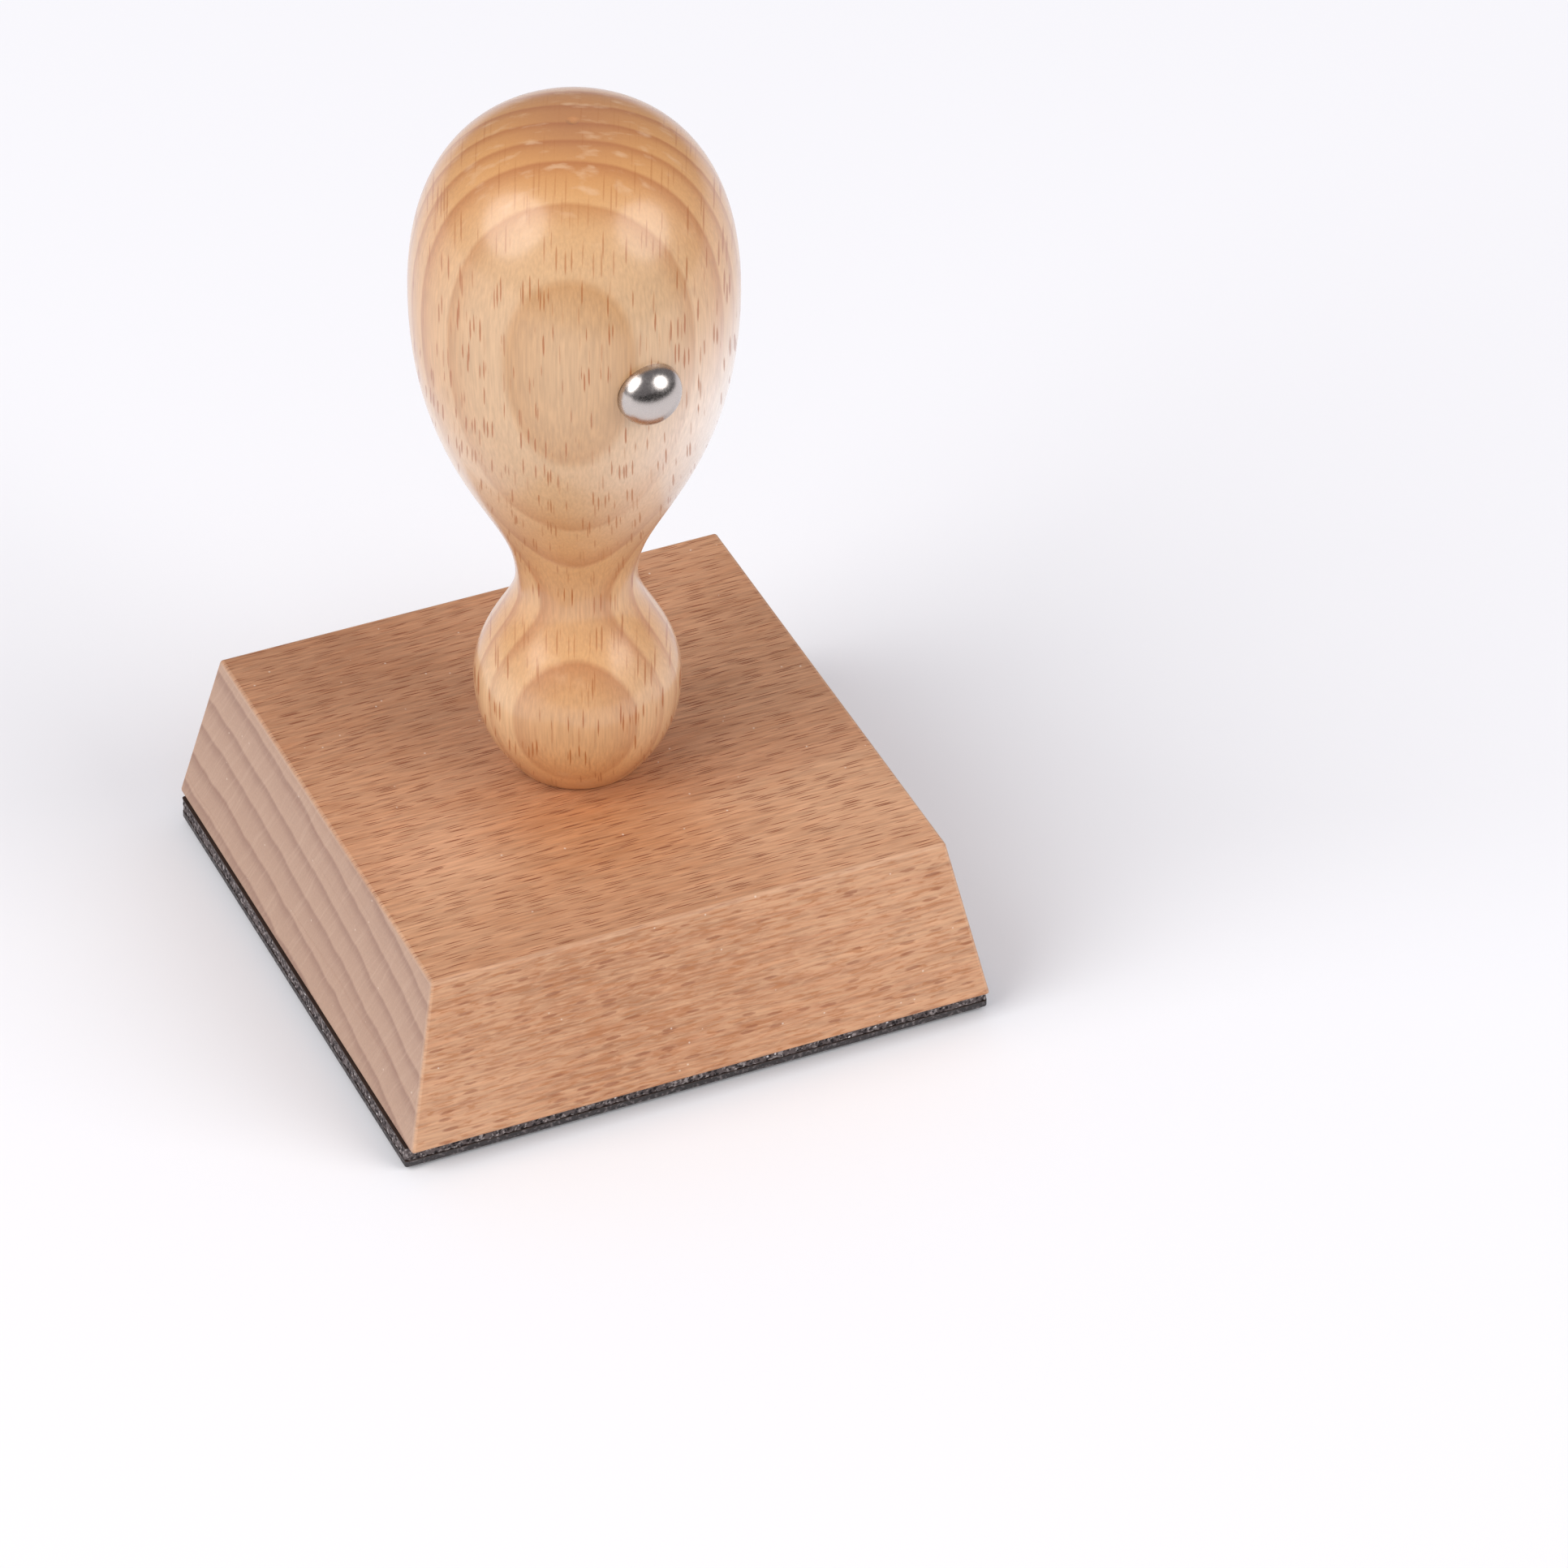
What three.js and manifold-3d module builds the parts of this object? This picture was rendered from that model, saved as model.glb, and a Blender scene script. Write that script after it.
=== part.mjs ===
// A hand stamp: a turned beech handle screwed to a bevelled beech mount, with a foam cushion and a
// rubber printing die stuck underneath. Millimetres, +Z up, with the printing face on z = 0, the
// handle's axis on the Z axis and the front of the stamp, where the marker stud is, towards -Y.
//
// Every piece is a closed solid of its own. Where a screw or a pin passes through a hole, the hole is
// wider than the piece by GAP all round.

import * as THREE from "three";
import { mergeVertices } from "three/addons/utils/BufferGeometryUtils.js";
import Module from "manifold-3d";

const wasm = await Module();
wasm.setup();

// ---------------------------------------------------------------- driving dimensions

const GAP = 0.3;

// The wooden mount is a low frustum: all four sides lean in towards the top.
const MOUNT_BOTTOM_X = 63.5;
const MOUNT_BOTTOM_Y = 64.5;
const MOUNT_TOP_X = 55.9;
const MOUNT_TOP_Y = 57.7;
const MOUNT_HEIGHT = 18.3;

// The layers under the mount are cut from sheet with a knife. They reach a hair past the wood at its two
// sides, and stop short of it at the front and the back.
const SHEET_X = 64.0;
const SHEET_Y = 62.1;
const SHEET_CORNER_RADIUS = 0.3;
const RELIEF_DEPTH = 0.5;
const RUBBER_FLOOR = 0.7;
const ADHESIVE = 0.1;
const FOAM = 1.6;

// The heights of the layers, from the printing face up.
const RUBBER_TOP = RELIEF_DEPTH + RUBBER_FLOOR;
const FOAM_BOTTOM = RUBBER_TOP + ADHESIVE;
const FOAM_TOP = FOAM_BOTTOM + FOAM;
const MOUNT_BOTTOM = FOAM_TOP + ADHESIVE;
const MOUNT_TOP = MOUNT_BOTTOM + MOUNT_HEIGHT;

// The turned handle, as radius and height above the mount: foot, ball, neck, bulb and crown.
const FOOT_RADIUS = 6.7;
const BALL_RADIUS = 10.55;
const BALL_HEIGHT = 10.2;
const NECK_RADIUS = 6.15;
const NECK_HEIGHT = 22.8;
const BULB_RADIUS = 16.35;
const BULB_HEIGHT = 57.1;
const HANDLE_HEIGHT = 76.8;
const HANDLE_SEGMENTS = 48;

// The control points that shape the curves between them. Ball, neck and bulb have one straight below
// and one straight above, given by height. The foot's and the crown's are given by radius too.
const FOOT_FLARE_RADIUS = 8.6;
const FOOT_FLARE_HEIGHT = 2.7;
const BELOW_BALL = 5.1;
const ABOVE_BALL = 15.8;
const BELOW_NECK = 18.6;
const ABOVE_NECK = 31.4;
const BELOW_BULB = 36.9;
const ABOVE_BULB = 71.0;
const CROWN_FLAT_RADIUS = 10.0;

// The countersunk wood screw that goes up through the mount into the handle.
const SCREW_LENGTH = 34;
const SCREW_HEAD_RADIUS = 3.8;
const SCREW_HEAD_RIM = 0.25;
const SCREW_SHANK_RADIUS = 1.45;
const SCREW_ROOT_RADIUS = 1.3;
const SCREW_CREST_RADIUS = 2.0;
const SCREW_PITCH = 1.8;
const SCREW_PLAIN_LENGTH = 11;
const SCREW_TIP_LENGTH = 4;
const SCREW_SEGMENTS = 14;
const THREAD_SHARPNESS = 1.6;
const RECESS_LENGTH = 4.2;
const RECESS_WIDTH = 0.9;
const RECESS_DEPTH = 1.8;
const SCREW_BOTTOM = MOUNT_BOTTOM + GAP;
const SCREW_TOP = SCREW_BOTTOM + SCREW_LENGTH;
const CLEARANCE_RADIUS = SCREW_CREST_RADIUS + GAP;
const BORE_SEGMENTS = 20;

// The domed marker stud on the front of the bulb: a pressed cap over a short nail.
// The handle stops a few degrees past square to the mount when its screw is tight, and so does the stud.
const STUD_HEIGHT = 54.9;
const STUD_TURN = THREE.MathUtils.degToRad(3.5);
const STUD_RADIUS = 3.3;
const STUD_DEPTH = 2.45;
const STUD_WALL = 0.35;
const STUD_PROUD = 0.05;
const STUD_SEAT = BULB_RADIUS + STUD_PROUD;
const STUD_SEGMENTS = 28;
const PIN_RADIUS = 0.75;
const PIN_LENGTH = 11;
const PIN_POINT_LENGTH = 2;
const PIN_DISC_RADIUS = 2.45;
const PIN_DISC_THICKNESS = 0.5;
const PIN_SEGMENTS = 16;
const PIN_HOLE_SEGMENTS = 12;

// The raised design on the die: two rings, a ring of beads and a rosette of eight petals.
const RING_OUTER_RADIUS = 27.5;
const RING_WIDTH = 1.3;
const INNER_RING_RADIUS = 24.9;
const INNER_RING_WIDTH = 0.7;
const BEAD_COUNT = 24;
const BEAD_RADIUS = 0.9;
const BEAD_CIRCLE = 21.6;
const PETAL_COUNT = 8;
const PETAL_START = 6.2;
const PETAL_END = 18.6;
const PETAL_HALF_WIDTH = 3.0;
const BOSS_RADIUS = 4.2;

// ---------------------------------------------------------------- materials

function finish(colour, roughness, metalness) {
  return new THREE.MeshStandardMaterial({ color: colour, roughness, metalness });
}

const lacqueredBeech = finish(0xdfae7c, 0.28, 0);
const sandedBeech = finish(0xc79670, 0.62, 0);
const nickelPlate = finish(0xcfcfcf, 0.18, 1);
const zincPlatedSteel = finish(0xb8b8b0, 0.35, 1);
const adhesiveFilm = finish(0x4a3020, 0.5, 0);
const charcoalFoam = finish(0x39363a, 0.95, 0);
const blackRubber = finish(0x2b2a2d, 0.7, 0);

// ---------------------------------------------------------------- solids

// A closed geometry as a solid that can be cut and joined.
function solid(geometry) {
  const bare = geometry.clone();
  bare.deleteAttribute("normal");
  bare.deleteAttribute("uv");
  const merged = mergeVertices(bare, 1e-5);
  return new wasm.Manifold(
    new wasm.Mesh({
      numProp: 3,
      vertProperties: new Float32Array(merged.attributes.position.array),
      triVerts: new Uint32Array(merged.index.array),
    }),
  );
}

// A solid as a geometry again.
function surface(body) {
  const mesh = body.getMesh();
  const geometry = new THREE.BufferGeometry();
  geometry.setAttribute("position", new THREE.BufferAttribute(mesh.vertProperties, 3));
  geometry.setIndex(new THREE.BufferAttribute(mesh.triVerts, 1));
  geometry.computeVertexNormals();
  return geometry;
}

// A profile of [radius, height] points turned about the Z axis.
function turned(points, segments) {
  const profile = points.map(([r, z]) => new THREE.Vector2(r, z));
  return new THREE.LatheGeometry(profile, segments).rotateX(Math.PI / 2);
}

// A round bar on the Z axis between two heights.
function bar(radius, low, high, segments) {
  const cylinder = new THREE.CylinderGeometry(radius, radius, high - low, segments);
  return cylinder.rotateX(Math.PI / 2).translate(0, 0, (low + high) / 2);
}

// A flat outline raised from one height to another.
function raised(shape, low, high, curveSegments) {
  const options = { depth: high - low, bevelEnabled: false, curveSegments };
  return new THREE.ExtrudeGeometry(shape, options).translate(0, 0, low);
}

// ---------------------------------------------------------------- the turned handle

// The profile is four smooth curves that meet with the surface upright at ball, neck and bulb.
function handleCurve() {
  const point = (r, z) => new THREE.Vector2(r, z);
  const foot = point(FOOT_RADIUS, 0);
  const ball = point(BALL_RADIUS, BALL_HEIGHT);
  const neck = point(NECK_RADIUS, NECK_HEIGHT);
  const bulb = point(BULB_RADIUS, BULB_HEIGHT);
  const crown = point(0, HANDLE_HEIGHT);
  const path = new THREE.CurvePath();
  const bend = (from, after, before, to) => path.add(new THREE.CubicBezierCurve(from, after, before, to));
  bend(foot, point(FOOT_FLARE_RADIUS, FOOT_FLARE_HEIGHT), point(BALL_RADIUS, BELOW_BALL), ball);
  bend(ball, point(BALL_RADIUS, ABOVE_BALL), point(NECK_RADIUS, BELOW_NECK), neck);
  bend(neck, point(NECK_RADIUS, ABOVE_NECK), point(BULB_RADIUS, BELOW_BULB), bulb);
  bend(bulb, point(BULB_RADIUS, ABOVE_BULB), point(CROWN_FLAT_RADIUS, HANDLE_HEIGHT), crown);
  return path;
}

function handleProfile() {
  const steps = [6, 5, 8, 10];
  const points = [[0, 0]];
  handleCurve().curves.forEach((curve, i) => {
    const part = curve.getPoints(steps[i]);
    part.slice(i === 0 ? 0 : 1).forEach((p) => points.push([p.x, p.y]));
  });
  points[points.length - 1][0] = 0;
  return points;
}

function handle() {
  const body = solid(turned(handleProfile(), HANDLE_SEGMENTS));
  const screwBore = bar(CLEARANCE_RADIUS, -1, SCREW_TOP - MOUNT_TOP + GAP, BORE_SEGMENTS);
  const pinBottom = STUD_SEAT - PIN_LENGTH - GAP;
  const pinBore = bar(PIN_RADIUS + GAP, pinBottom, STUD_SEAT + 1, PIN_HOLE_SEGMENTS);
  pinBore.rotateX(Math.PI / 2).rotateZ(STUD_TURN).translate(0, 0, STUD_HEIGHT);
  return surface(body.subtract(solid(screwBore)).subtract(solid(pinBore)));
}

// ---------------------------------------------------------------- the marker stud

// Both pieces are turned with their axis on +Z, pointing out of the handle, from the seat at z = 0.
function studCap() {
  const arc = (radius, depth, from, to) => {
    const ellipse = new THREE.EllipseCurve(0, 0, radius, depth, from, to, from > to);
    return ellipse.getPoints(8).map((p) => [Math.max(p.x, 0), p.y]);
  };
  const inner = arc(STUD_RADIUS - STUD_WALL, STUD_DEPTH - STUD_WALL, Math.PI / 2, 0);
  const outer = arc(STUD_RADIUS, STUD_DEPTH, 0, Math.PI / 2);
  inner[0][0] = 0;
  outer[outer.length - 1][0] = 0;
  return turned([...inner, ...outer], STUD_SEGMENTS);
}

function studPin() {
  const profile = [
    [0, -PIN_LENGTH],
    [PIN_RADIUS, PIN_POINT_LENGTH - PIN_LENGTH],
    [PIN_RADIUS, 0],
    [PIN_DISC_RADIUS, 0],
    [PIN_DISC_RADIUS, PIN_DISC_THICKNESS],
    [0, PIN_DISC_THICKNESS],
  ];
  return turned(profile, PIN_SEGMENTS);
}

// ---------------------------------------------------------------- the wooden mount

function mountBlock() {
  const block = new THREE.BoxGeometry(MOUNT_BOTTOM_X, MOUNT_BOTTOM_Y, MOUNT_HEIGHT);
  const corner = block.attributes.position;
  for (let i = 0; i < corner.count; i += 1) {
    if (corner.getZ(i) > 0) {
      corner.setX(i, (corner.getX(i) * MOUNT_TOP_X) / MOUNT_BOTTOM_X);
      corner.setY(i, (corner.getY(i) * MOUNT_TOP_Y) / MOUNT_BOTTOM_Y);
    }
  }
  block.translate(0, 0, MOUNT_HEIGHT / 2);
  // A gap measured square to a 45 degree cone is wider by the root of two along the radius.
  const mouth = SCREW_HEAD_RADIUS + GAP * Math.SQRT2 + GAP;
  const countersink = [
    [0, -1],
    [mouth + 1, -1],
    [CLEARANCE_RADIUS, mouth - CLEARANCE_RADIUS],
    [CLEARANCE_RADIUS, MOUNT_HEIGHT + 1],
    [0, MOUNT_HEIGHT + 1],
  ];
  return surface(solid(block).subtract(solid(turned(countersink, BORE_SEGMENTS))));
}

// ---------------------------------------------------------------- the screw

// How far the thread stands out, from 0 at the root to 1 at the crest: a sharp ridge and a wide root.
function threadRidge(turns) {
  const across = Math.abs(turns - Math.floor(turns) - 0.5) * 2;
  return Math.max(0, 1 - across * THREAD_SHARPNESS);
}

// The screw stands on its head: z = 0 is the flat of the head and the tip points up.
function screw() {
  const headHeight = SCREW_HEAD_RADIUS - SCREW_SHANK_RADIUS;
  const threadEnd = SCREW_LENGTH - SCREW_TIP_LENGTH;
  const rowsPerTurn = 6;
  const profile = [
    [0, 0],
    [SCREW_HEAD_RADIUS, 0],
    [SCREW_HEAD_RADIUS, SCREW_HEAD_RIM],
    [SCREW_SHANK_RADIUS, headHeight + SCREW_HEAD_RIM],
    [SCREW_SHANK_RADIUS, SCREW_PLAIN_LENGTH],
  ];
  const step = SCREW_PITCH / rowsPerTurn;
  const rows = Math.round((SCREW_LENGTH - SCREW_PLAIN_LENGTH) / step);
  for (let i = 1; i < rows; i += 1) {
    const z = SCREW_PLAIN_LENGTH + (i * (SCREW_LENGTH - SCREW_PLAIN_LENGTH)) / rows;
    const taper = Math.min(1, (SCREW_LENGTH - z) / SCREW_TIP_LENGTH);
    profile.push([SCREW_ROOT_RADIUS * taper, z]);
  }
  profile.push([0, SCREW_LENGTH]);
  const blank = turned(profile, SCREW_SEGMENTS);
  const point = blank.attributes.position;
  for (let i = 0; i < point.count; i += 1) {
    const [x, y, z] = [point.getX(i), point.getY(i), point.getZ(i)];
    const radius = Math.hypot(x, y);
    if (z > SCREW_PLAIN_LENGTH + 0.01 && radius > 0.01) {
      const turns = z / SCREW_PITCH - Math.atan2(y, x) / (2 * Math.PI);
      const runIn = Math.min(1, (z - SCREW_PLAIN_LENGTH) / SCREW_PITCH);
      const runOut = z > threadEnd ? (SCREW_LENGTH - z) / SCREW_TIP_LENGTH : 1;
      const depth = (SCREW_CREST_RADIUS - SCREW_ROOT_RADIUS) * runIn * runOut;
      const wider = (radius + depth * threadRidge(turns)) / radius;
      point.setXY(i, x * wider, y * wider);
    }
  }
  const slot = new THREE.BoxGeometry(RECESS_LENGTH, RECESS_WIDTH, 2 * RECESS_DEPTH);
  const crossSlot = new THREE.BoxGeometry(RECESS_WIDTH, RECESS_LENGTH, 2 * RECESS_DEPTH);
  return surface(solid(blank).subtract(solid(slot)).subtract(solid(crossSlot)));
}

// ---------------------------------------------------------------- the layers under the mount

function sheet(low, high) {
  const x = SHEET_X / 2 - SHEET_CORNER_RADIUS;
  const y = SHEET_Y / 2 - SHEET_CORNER_RADIUS;
  const corners = [
    [x, y],
    [-x, y],
    [-x, -y],
    [x, -y],
  ];
  const outline = new THREE.Shape();
  corners.forEach(([cx, cy], i) => {
    const start = (i * Math.PI) / 2;
    outline.absarc(cx, cy, SHEET_CORNER_RADIUS, start, start + Math.PI / 2, false);
  });
  return raised(outline, low, high, 3);
}

function ringShape(radius, width) {
  const ring = new THREE.Shape().absarc(0, 0, radius, 0, 2 * Math.PI, false);
  ring.holes.push(new THREE.Path().absarc(0, 0, radius - width, 0, 2 * Math.PI, true));
  return ring;
}

function discShape(x, y, radius) {
  return new THREE.Shape().absarc(x, y, radius, 0, 2 * Math.PI, false);
}

function petalShape(angle) {
  const along = (r, side) => {
    const v = new THREE.Vector2(r, side);
    return v.rotateAround(new THREE.Vector2(0, 0), angle);
  };
  const middle = (PETAL_START + PETAL_END) / 2;
  const [start, end] = [along(PETAL_START, 0), along(PETAL_END, 0)];
  const [right, left] = [along(middle, -2 * PETAL_HALF_WIDTH), along(middle, 2 * PETAL_HALF_WIDTH)];
  const petal = new THREE.Shape();
  petal.moveTo(start.x, start.y);
  petal.quadraticCurveTo(right.x, right.y, end.x, end.y);
  petal.quadraticCurveTo(left.x, left.y, start.x, start.y);
  return petal;
}

function around(count, make) {
  return Array.from({ length: count }, (_, i) => make((i * 2 * Math.PI) / count));
}

function rubberDie() {
  // The raised design runs a little way into the floor, so that the two join into one body.
  const root = RELIEF_DEPTH + RUBBER_FLOOR / 2;
  const bead = (a) => discShape(BEAD_CIRCLE * Math.cos(a), BEAD_CIRCLE * Math.sin(a), BEAD_RADIUS);
  const relief = [
    raised(ringShape(RING_OUTER_RADIUS, RING_WIDTH), 0, root, 24),
    raised(ringShape(INNER_RING_RADIUS, INNER_RING_WIDTH), 0, root, 24),
    raised(discShape(0, 0, BOSS_RADIUS), 0, root, 9),
    ...around(BEAD_COUNT, bead).map((shape) => raised(shape, 0, root, 4)),
    ...around(PETAL_COUNT, petalShape).map((shape) => raised(shape, 0, root, 6)),
  ];
  const floor = solid(sheet(RELIEF_DEPTH, RUBBER_TOP));
  return surface(relief.reduce((body, piece) => body.add(solid(piece)), floor));
}

// ---------------------------------------------------------------- the assembly

function piece(name, geometry, material) {
  const mesh = new THREE.Mesh(geometry, material);
  mesh.name = name;
  return mesh;
}

const stamp = new THREE.Group();

// What rests on the paper: the die, the film over it and the foam.
const pad = new THREE.Group();
pad.add(piece("rubber_die", rubberDie(), blackRubber));
pad.add(piece("die_adhesive", sheet(RUBBER_TOP, FOAM_BOTTOM), adhesiveFilm));
pad.add(piece("foam_cushion", sheet(FOAM_BOTTOM, FOAM_TOP), charcoalFoam));
stamp.add(pad);

// What the hand presses down: the wood and all that is fixed to it.
const grip = new THREE.Group();
grip.add(piece("mount_adhesive", sheet(FOAM_TOP, MOUNT_BOTTOM), adhesiveFilm));
const mount = piece("mount_block", mountBlock(), sandedBeech);
mount.position.z = MOUNT_BOTTOM;
grip.add(mount);
const turnedHandle = piece("turned_handle", handle(), lacqueredBeech);
turnedHandle.position.z = MOUNT_TOP;
grip.add(turnedHandle);
const handleScrew = piece("handle_screw", screw(), zincPlatedSteel);
handleScrew.position.z = SCREW_BOTTOM;
grip.add(handleScrew);

// The stud's axis is laid along -Y, and turned with the handle about the Z axis.
const stud = new THREE.Group();
stud.add(piece("marker_stud_cap", studCap(), nickelPlate));
stud.add(piece("marker_stud_pin", studPin(), zincPlatedSteel));
stud.rotation.x = Math.PI / 2;
stud.position.y = -STUD_SEAT;
const studTurn = new THREE.Group();
studTurn.add(stud);
studTurn.rotation.z = STUD_TURN;
studTurn.position.z = MOUNT_TOP + STUD_HEIGHT;
grip.add(studTurn);
stamp.add(grip);

export default stamp;
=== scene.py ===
# %% [markdown]
# # A hand stamp in beech, sponge and rubber
#
# A hand stamp is a small stack of simple things. A turned and lacquered beech handle is screwed to a
# bevelled block of bare beech, and a sheet of sponge and a rubber printing die are stuck underneath.
# A domed metal stud on the handle tells the hand which side is the front.
#
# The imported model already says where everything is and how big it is, so the first step only loads it.
# Each piece below is built in the same place with finer shapes, and then rides on its own body.

# %% Load the frame
import math

import bmesh
import bpy
from mathutils import Euler, Matrix, Vector


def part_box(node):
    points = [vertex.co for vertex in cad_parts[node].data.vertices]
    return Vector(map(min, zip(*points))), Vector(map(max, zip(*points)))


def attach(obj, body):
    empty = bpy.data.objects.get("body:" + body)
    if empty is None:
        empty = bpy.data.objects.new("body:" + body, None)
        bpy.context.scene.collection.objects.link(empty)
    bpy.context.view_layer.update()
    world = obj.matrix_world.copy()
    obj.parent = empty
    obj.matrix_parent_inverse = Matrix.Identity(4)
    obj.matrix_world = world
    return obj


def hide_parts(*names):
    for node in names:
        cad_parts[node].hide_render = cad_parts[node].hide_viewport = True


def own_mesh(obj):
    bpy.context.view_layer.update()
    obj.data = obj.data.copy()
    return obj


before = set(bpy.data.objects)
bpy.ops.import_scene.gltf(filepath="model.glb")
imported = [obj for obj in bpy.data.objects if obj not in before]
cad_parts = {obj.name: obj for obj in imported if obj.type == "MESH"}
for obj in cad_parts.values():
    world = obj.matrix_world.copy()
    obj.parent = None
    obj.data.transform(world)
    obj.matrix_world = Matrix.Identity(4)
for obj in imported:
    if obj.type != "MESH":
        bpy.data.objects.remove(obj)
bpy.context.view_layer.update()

MM = 0.001

# %% [markdown]
# ## Helpers for shaping
#
# Every piece is shaped the way a hand would do it: a primitive, then edit mode, then modifiers. A few
# small helpers keep that short. One picks faces or edges by a test on where they are or which way they
# face. One adds a modifier and applies it. One moves the finished piece's place into its mesh, so that
# its object stays at the origin and the wood grain, which reads object coordinates, can't slide.

# %% Picking by place or direction
def pick(piece, kind, wanted):
    """Opens a piece in edit mode and selects only the faces, edges or vertices that the test wants."""
    bpy.ops.object.select_all(action="DESELECT")
    piece.select_set(True)
    bpy.context.view_layer.objects.active = piece
    bpy.ops.object.mode_set(mode="EDIT")
    bpy.ops.mesh.select_mode(type=kind)
    bpy.ops.mesh.select_all(action="DESELECT")
    mesh = bmesh.from_edit_mesh(piece.data)
    mesh.normal_update()
    elements = {"VERT": mesh.verts, "EDGE": mesh.edges, "FACE": mesh.faces}[kind]
    found = [element for element in elements if wanted(element)]
    for element in found:
        element.select_set(True)
    mesh.select_flush_mode()
    bmesh.update_edit_mesh(piece.data)
    return len(found)


def close_edit():
    """Leaves edit mode."""
    bpy.ops.object.mode_set(mode="OBJECT")


print("mode:", bpy.context.mode)

# %% Modifiers and finishing
def apply_modifier(piece, kind, **settings):
    """Adds a modifier with its settings and applies it at once."""
    bpy.context.view_layer.objects.active = piece
    modifier = piece.modifiers.new(kind.lower(), kind)
    for setting, value in settings.items():
        setattr(modifier, setting, value)
    bpy.ops.object.modifier_apply(modifier=modifier.name)


def settle(piece):
    """Moves a piece's place, turn and size into its mesh."""
    bpy.ops.object.select_all(action="DESELECT")
    piece.select_set(True)
    bpy.context.view_layer.objects.active = piece
    bpy.ops.object.transform_apply(location=True, rotation=True, scale=True)


def cut(piece, cutter, operation="DIFFERENCE"):
    """Cuts one piece with another, or joins them, and removes the cutter."""
    apply_modifier(piece, "BOOLEAN", operation=operation, object=cutter, solver="EXACT")
    bpy.data.objects.remove(cutter)


def smooth(piece, degrees):
    """Shades a piece smooth, but keeps edges sharper than so many degrees."""
    bpy.ops.object.select_all(action="DESELECT")
    piece.select_set(True)
    bpy.context.view_layer.objects.active = piece
    bpy.ops.object.shade_smooth_by_angle(angle=math.radians(degrees))


def triangles(piece):
    """How many triangles a piece has."""
    return sum(len(face.vertices) - 2 for face in piece.data.polygons)


print("triangles in the packed mount:", triangles(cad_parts["mount_block"]))

# %% [markdown]
# ## Helpers for surfaces
#
# Paint and wood colours are given as sRGB hex codes, but the shader works in linear light, so
# one function turns them over. Every node in this lesson is added by one other function, which takes
# the node's settings by name and its inputs as values or as links from earlier nodes.

# %% Helpers for surfaces
def linear(code):
    """An sRGB hex colour as linear red, green, blue and alpha."""
    channels = [int(code[i:i + 2], 16) / 255 for i in (1, 3, 5)]
    return [c / 12.92 if c <= 0.04045 else ((c + 0.055) / 1.055) ** 2.4 for c in channels] + [1]


def add(tree, kind, inputs=None, **settings):
    """Adds a node to a tree, with its settings. Its inputs are links, values or hex colours."""
    made = tree.nodes.new("ShaderNode" + kind)
    for setting, value in settings.items():
        setattr(made, setting, value)
    for socket, value in (inputs or {}).items():
        if isinstance(value, bpy.types.NodeSocket):
            tree.links.new(value, made.inputs[socket])
        else:
            made.inputs[socket].default_value = linear(value) if isinstance(value, str) else value
    return made


def start_material(name):
    """A new material with an empty principled shader: returns the material, its tree and the shader."""
    made = bpy.data.materials.new(name)
    made.use_nodes = True
    made.node_tree.nodes.clear()
    shader = add(made.node_tree, "BsdfPrincipled")
    add(made.node_tree, "OutputMaterial", {"Surface": shader.outputs["BSDF"]})
    return made, made.node_tree, shader


# The colour version of the Mix node has its factor, colours and result in these sockets.
FACTOR, FIRST, SECOND, RESULT = 0, 6, 7, 2


def layered(tree, colour, layers):
    """Lays tints over a colour, one after another. A layer is its strength, tint and way of mixing."""
    for strength, tint, way in layers:
        mixed = add(
            tree, "Mix", {FACTOR: strength, FIRST: colour, SECOND: tint},
            data_type="RGBA", blend_type=way,
        )
        colour = mixed.outputs[RESULT]
    return colour


print("white is", linear("#ffffff"))

# %% [markdown]
# ## The camera
#
# The stamp is seen from above its front left corner with a long lens, as in a catalogue. The camera
# could be placed by its coordinates, but it is easier to adjust when it is described as one would stand
# it: which way round, how high, how far off, and how far its axis passes to the side of the block.
# Azimuth 0 stands in front of the stamp and looks along +Y.

# %% The camera
CAMERA_AZIMUTH = math.radians(-24.35)
CAMERA_ELEVATION = math.radians(37.88)
CAMERA_ROLL = math.radians(0.54)
CAMERA_DISTANCE = 908.8 * MM
CAMERA_ASIDE = 21.1 * MM
CAMERA_ABOVE = 11.0 * MM
CAMERA_LENS_MM = 202.25

mount_low, mount_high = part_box("mount_block")
aim = Vector((0, 0, mount_low.z))
turn = (
    Matrix.Rotation(CAMERA_AZIMUTH, 4, "Z")
    @ Matrix.Rotation(math.pi / 2 - CAMERA_ELEVATION, 4, "X")
    @ Matrix.Rotation(CAMERA_ROLL, 4, "Z")
)
bpy.ops.object.camera_add()
camera = bpy.context.object
camera.matrix_world = (
    Matrix.Translation(aim) @ turn @ Matrix.Translation((CAMERA_ASIDE, CAMERA_ABOVE, CAMERA_DISTANCE))
)
camera.data.lens = CAMERA_LENS_MM
camera.data.clip_start = 10 * MM
camera.data.clip_end = 50
bpy.context.scene.camera = camera
print("camera at, in mm:", [round(place / MM) for place in camera.matrix_world.translation])

# %% [markdown]
# ## The table
#
# The table is a white card. A curved backdrop is the usual choice in a studio, but it looks right from
# one side only. This one is flat and very large, so that a low view from any side sees it run to the
# horizon, where it meets a backdrop of nearly the same white.

# %% The table
TABLE_RADIUS = 8  # metres
TABLE_WHITE = "#eeeeef"

bpy.ops.object.select_all(action="DESELECT")
bpy.ops.mesh.primitive_circle_add(vertices=96, radius=TABLE_RADIUS, fill_type="NGON")
table = bpy.context.object
table.name = "table"
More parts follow.
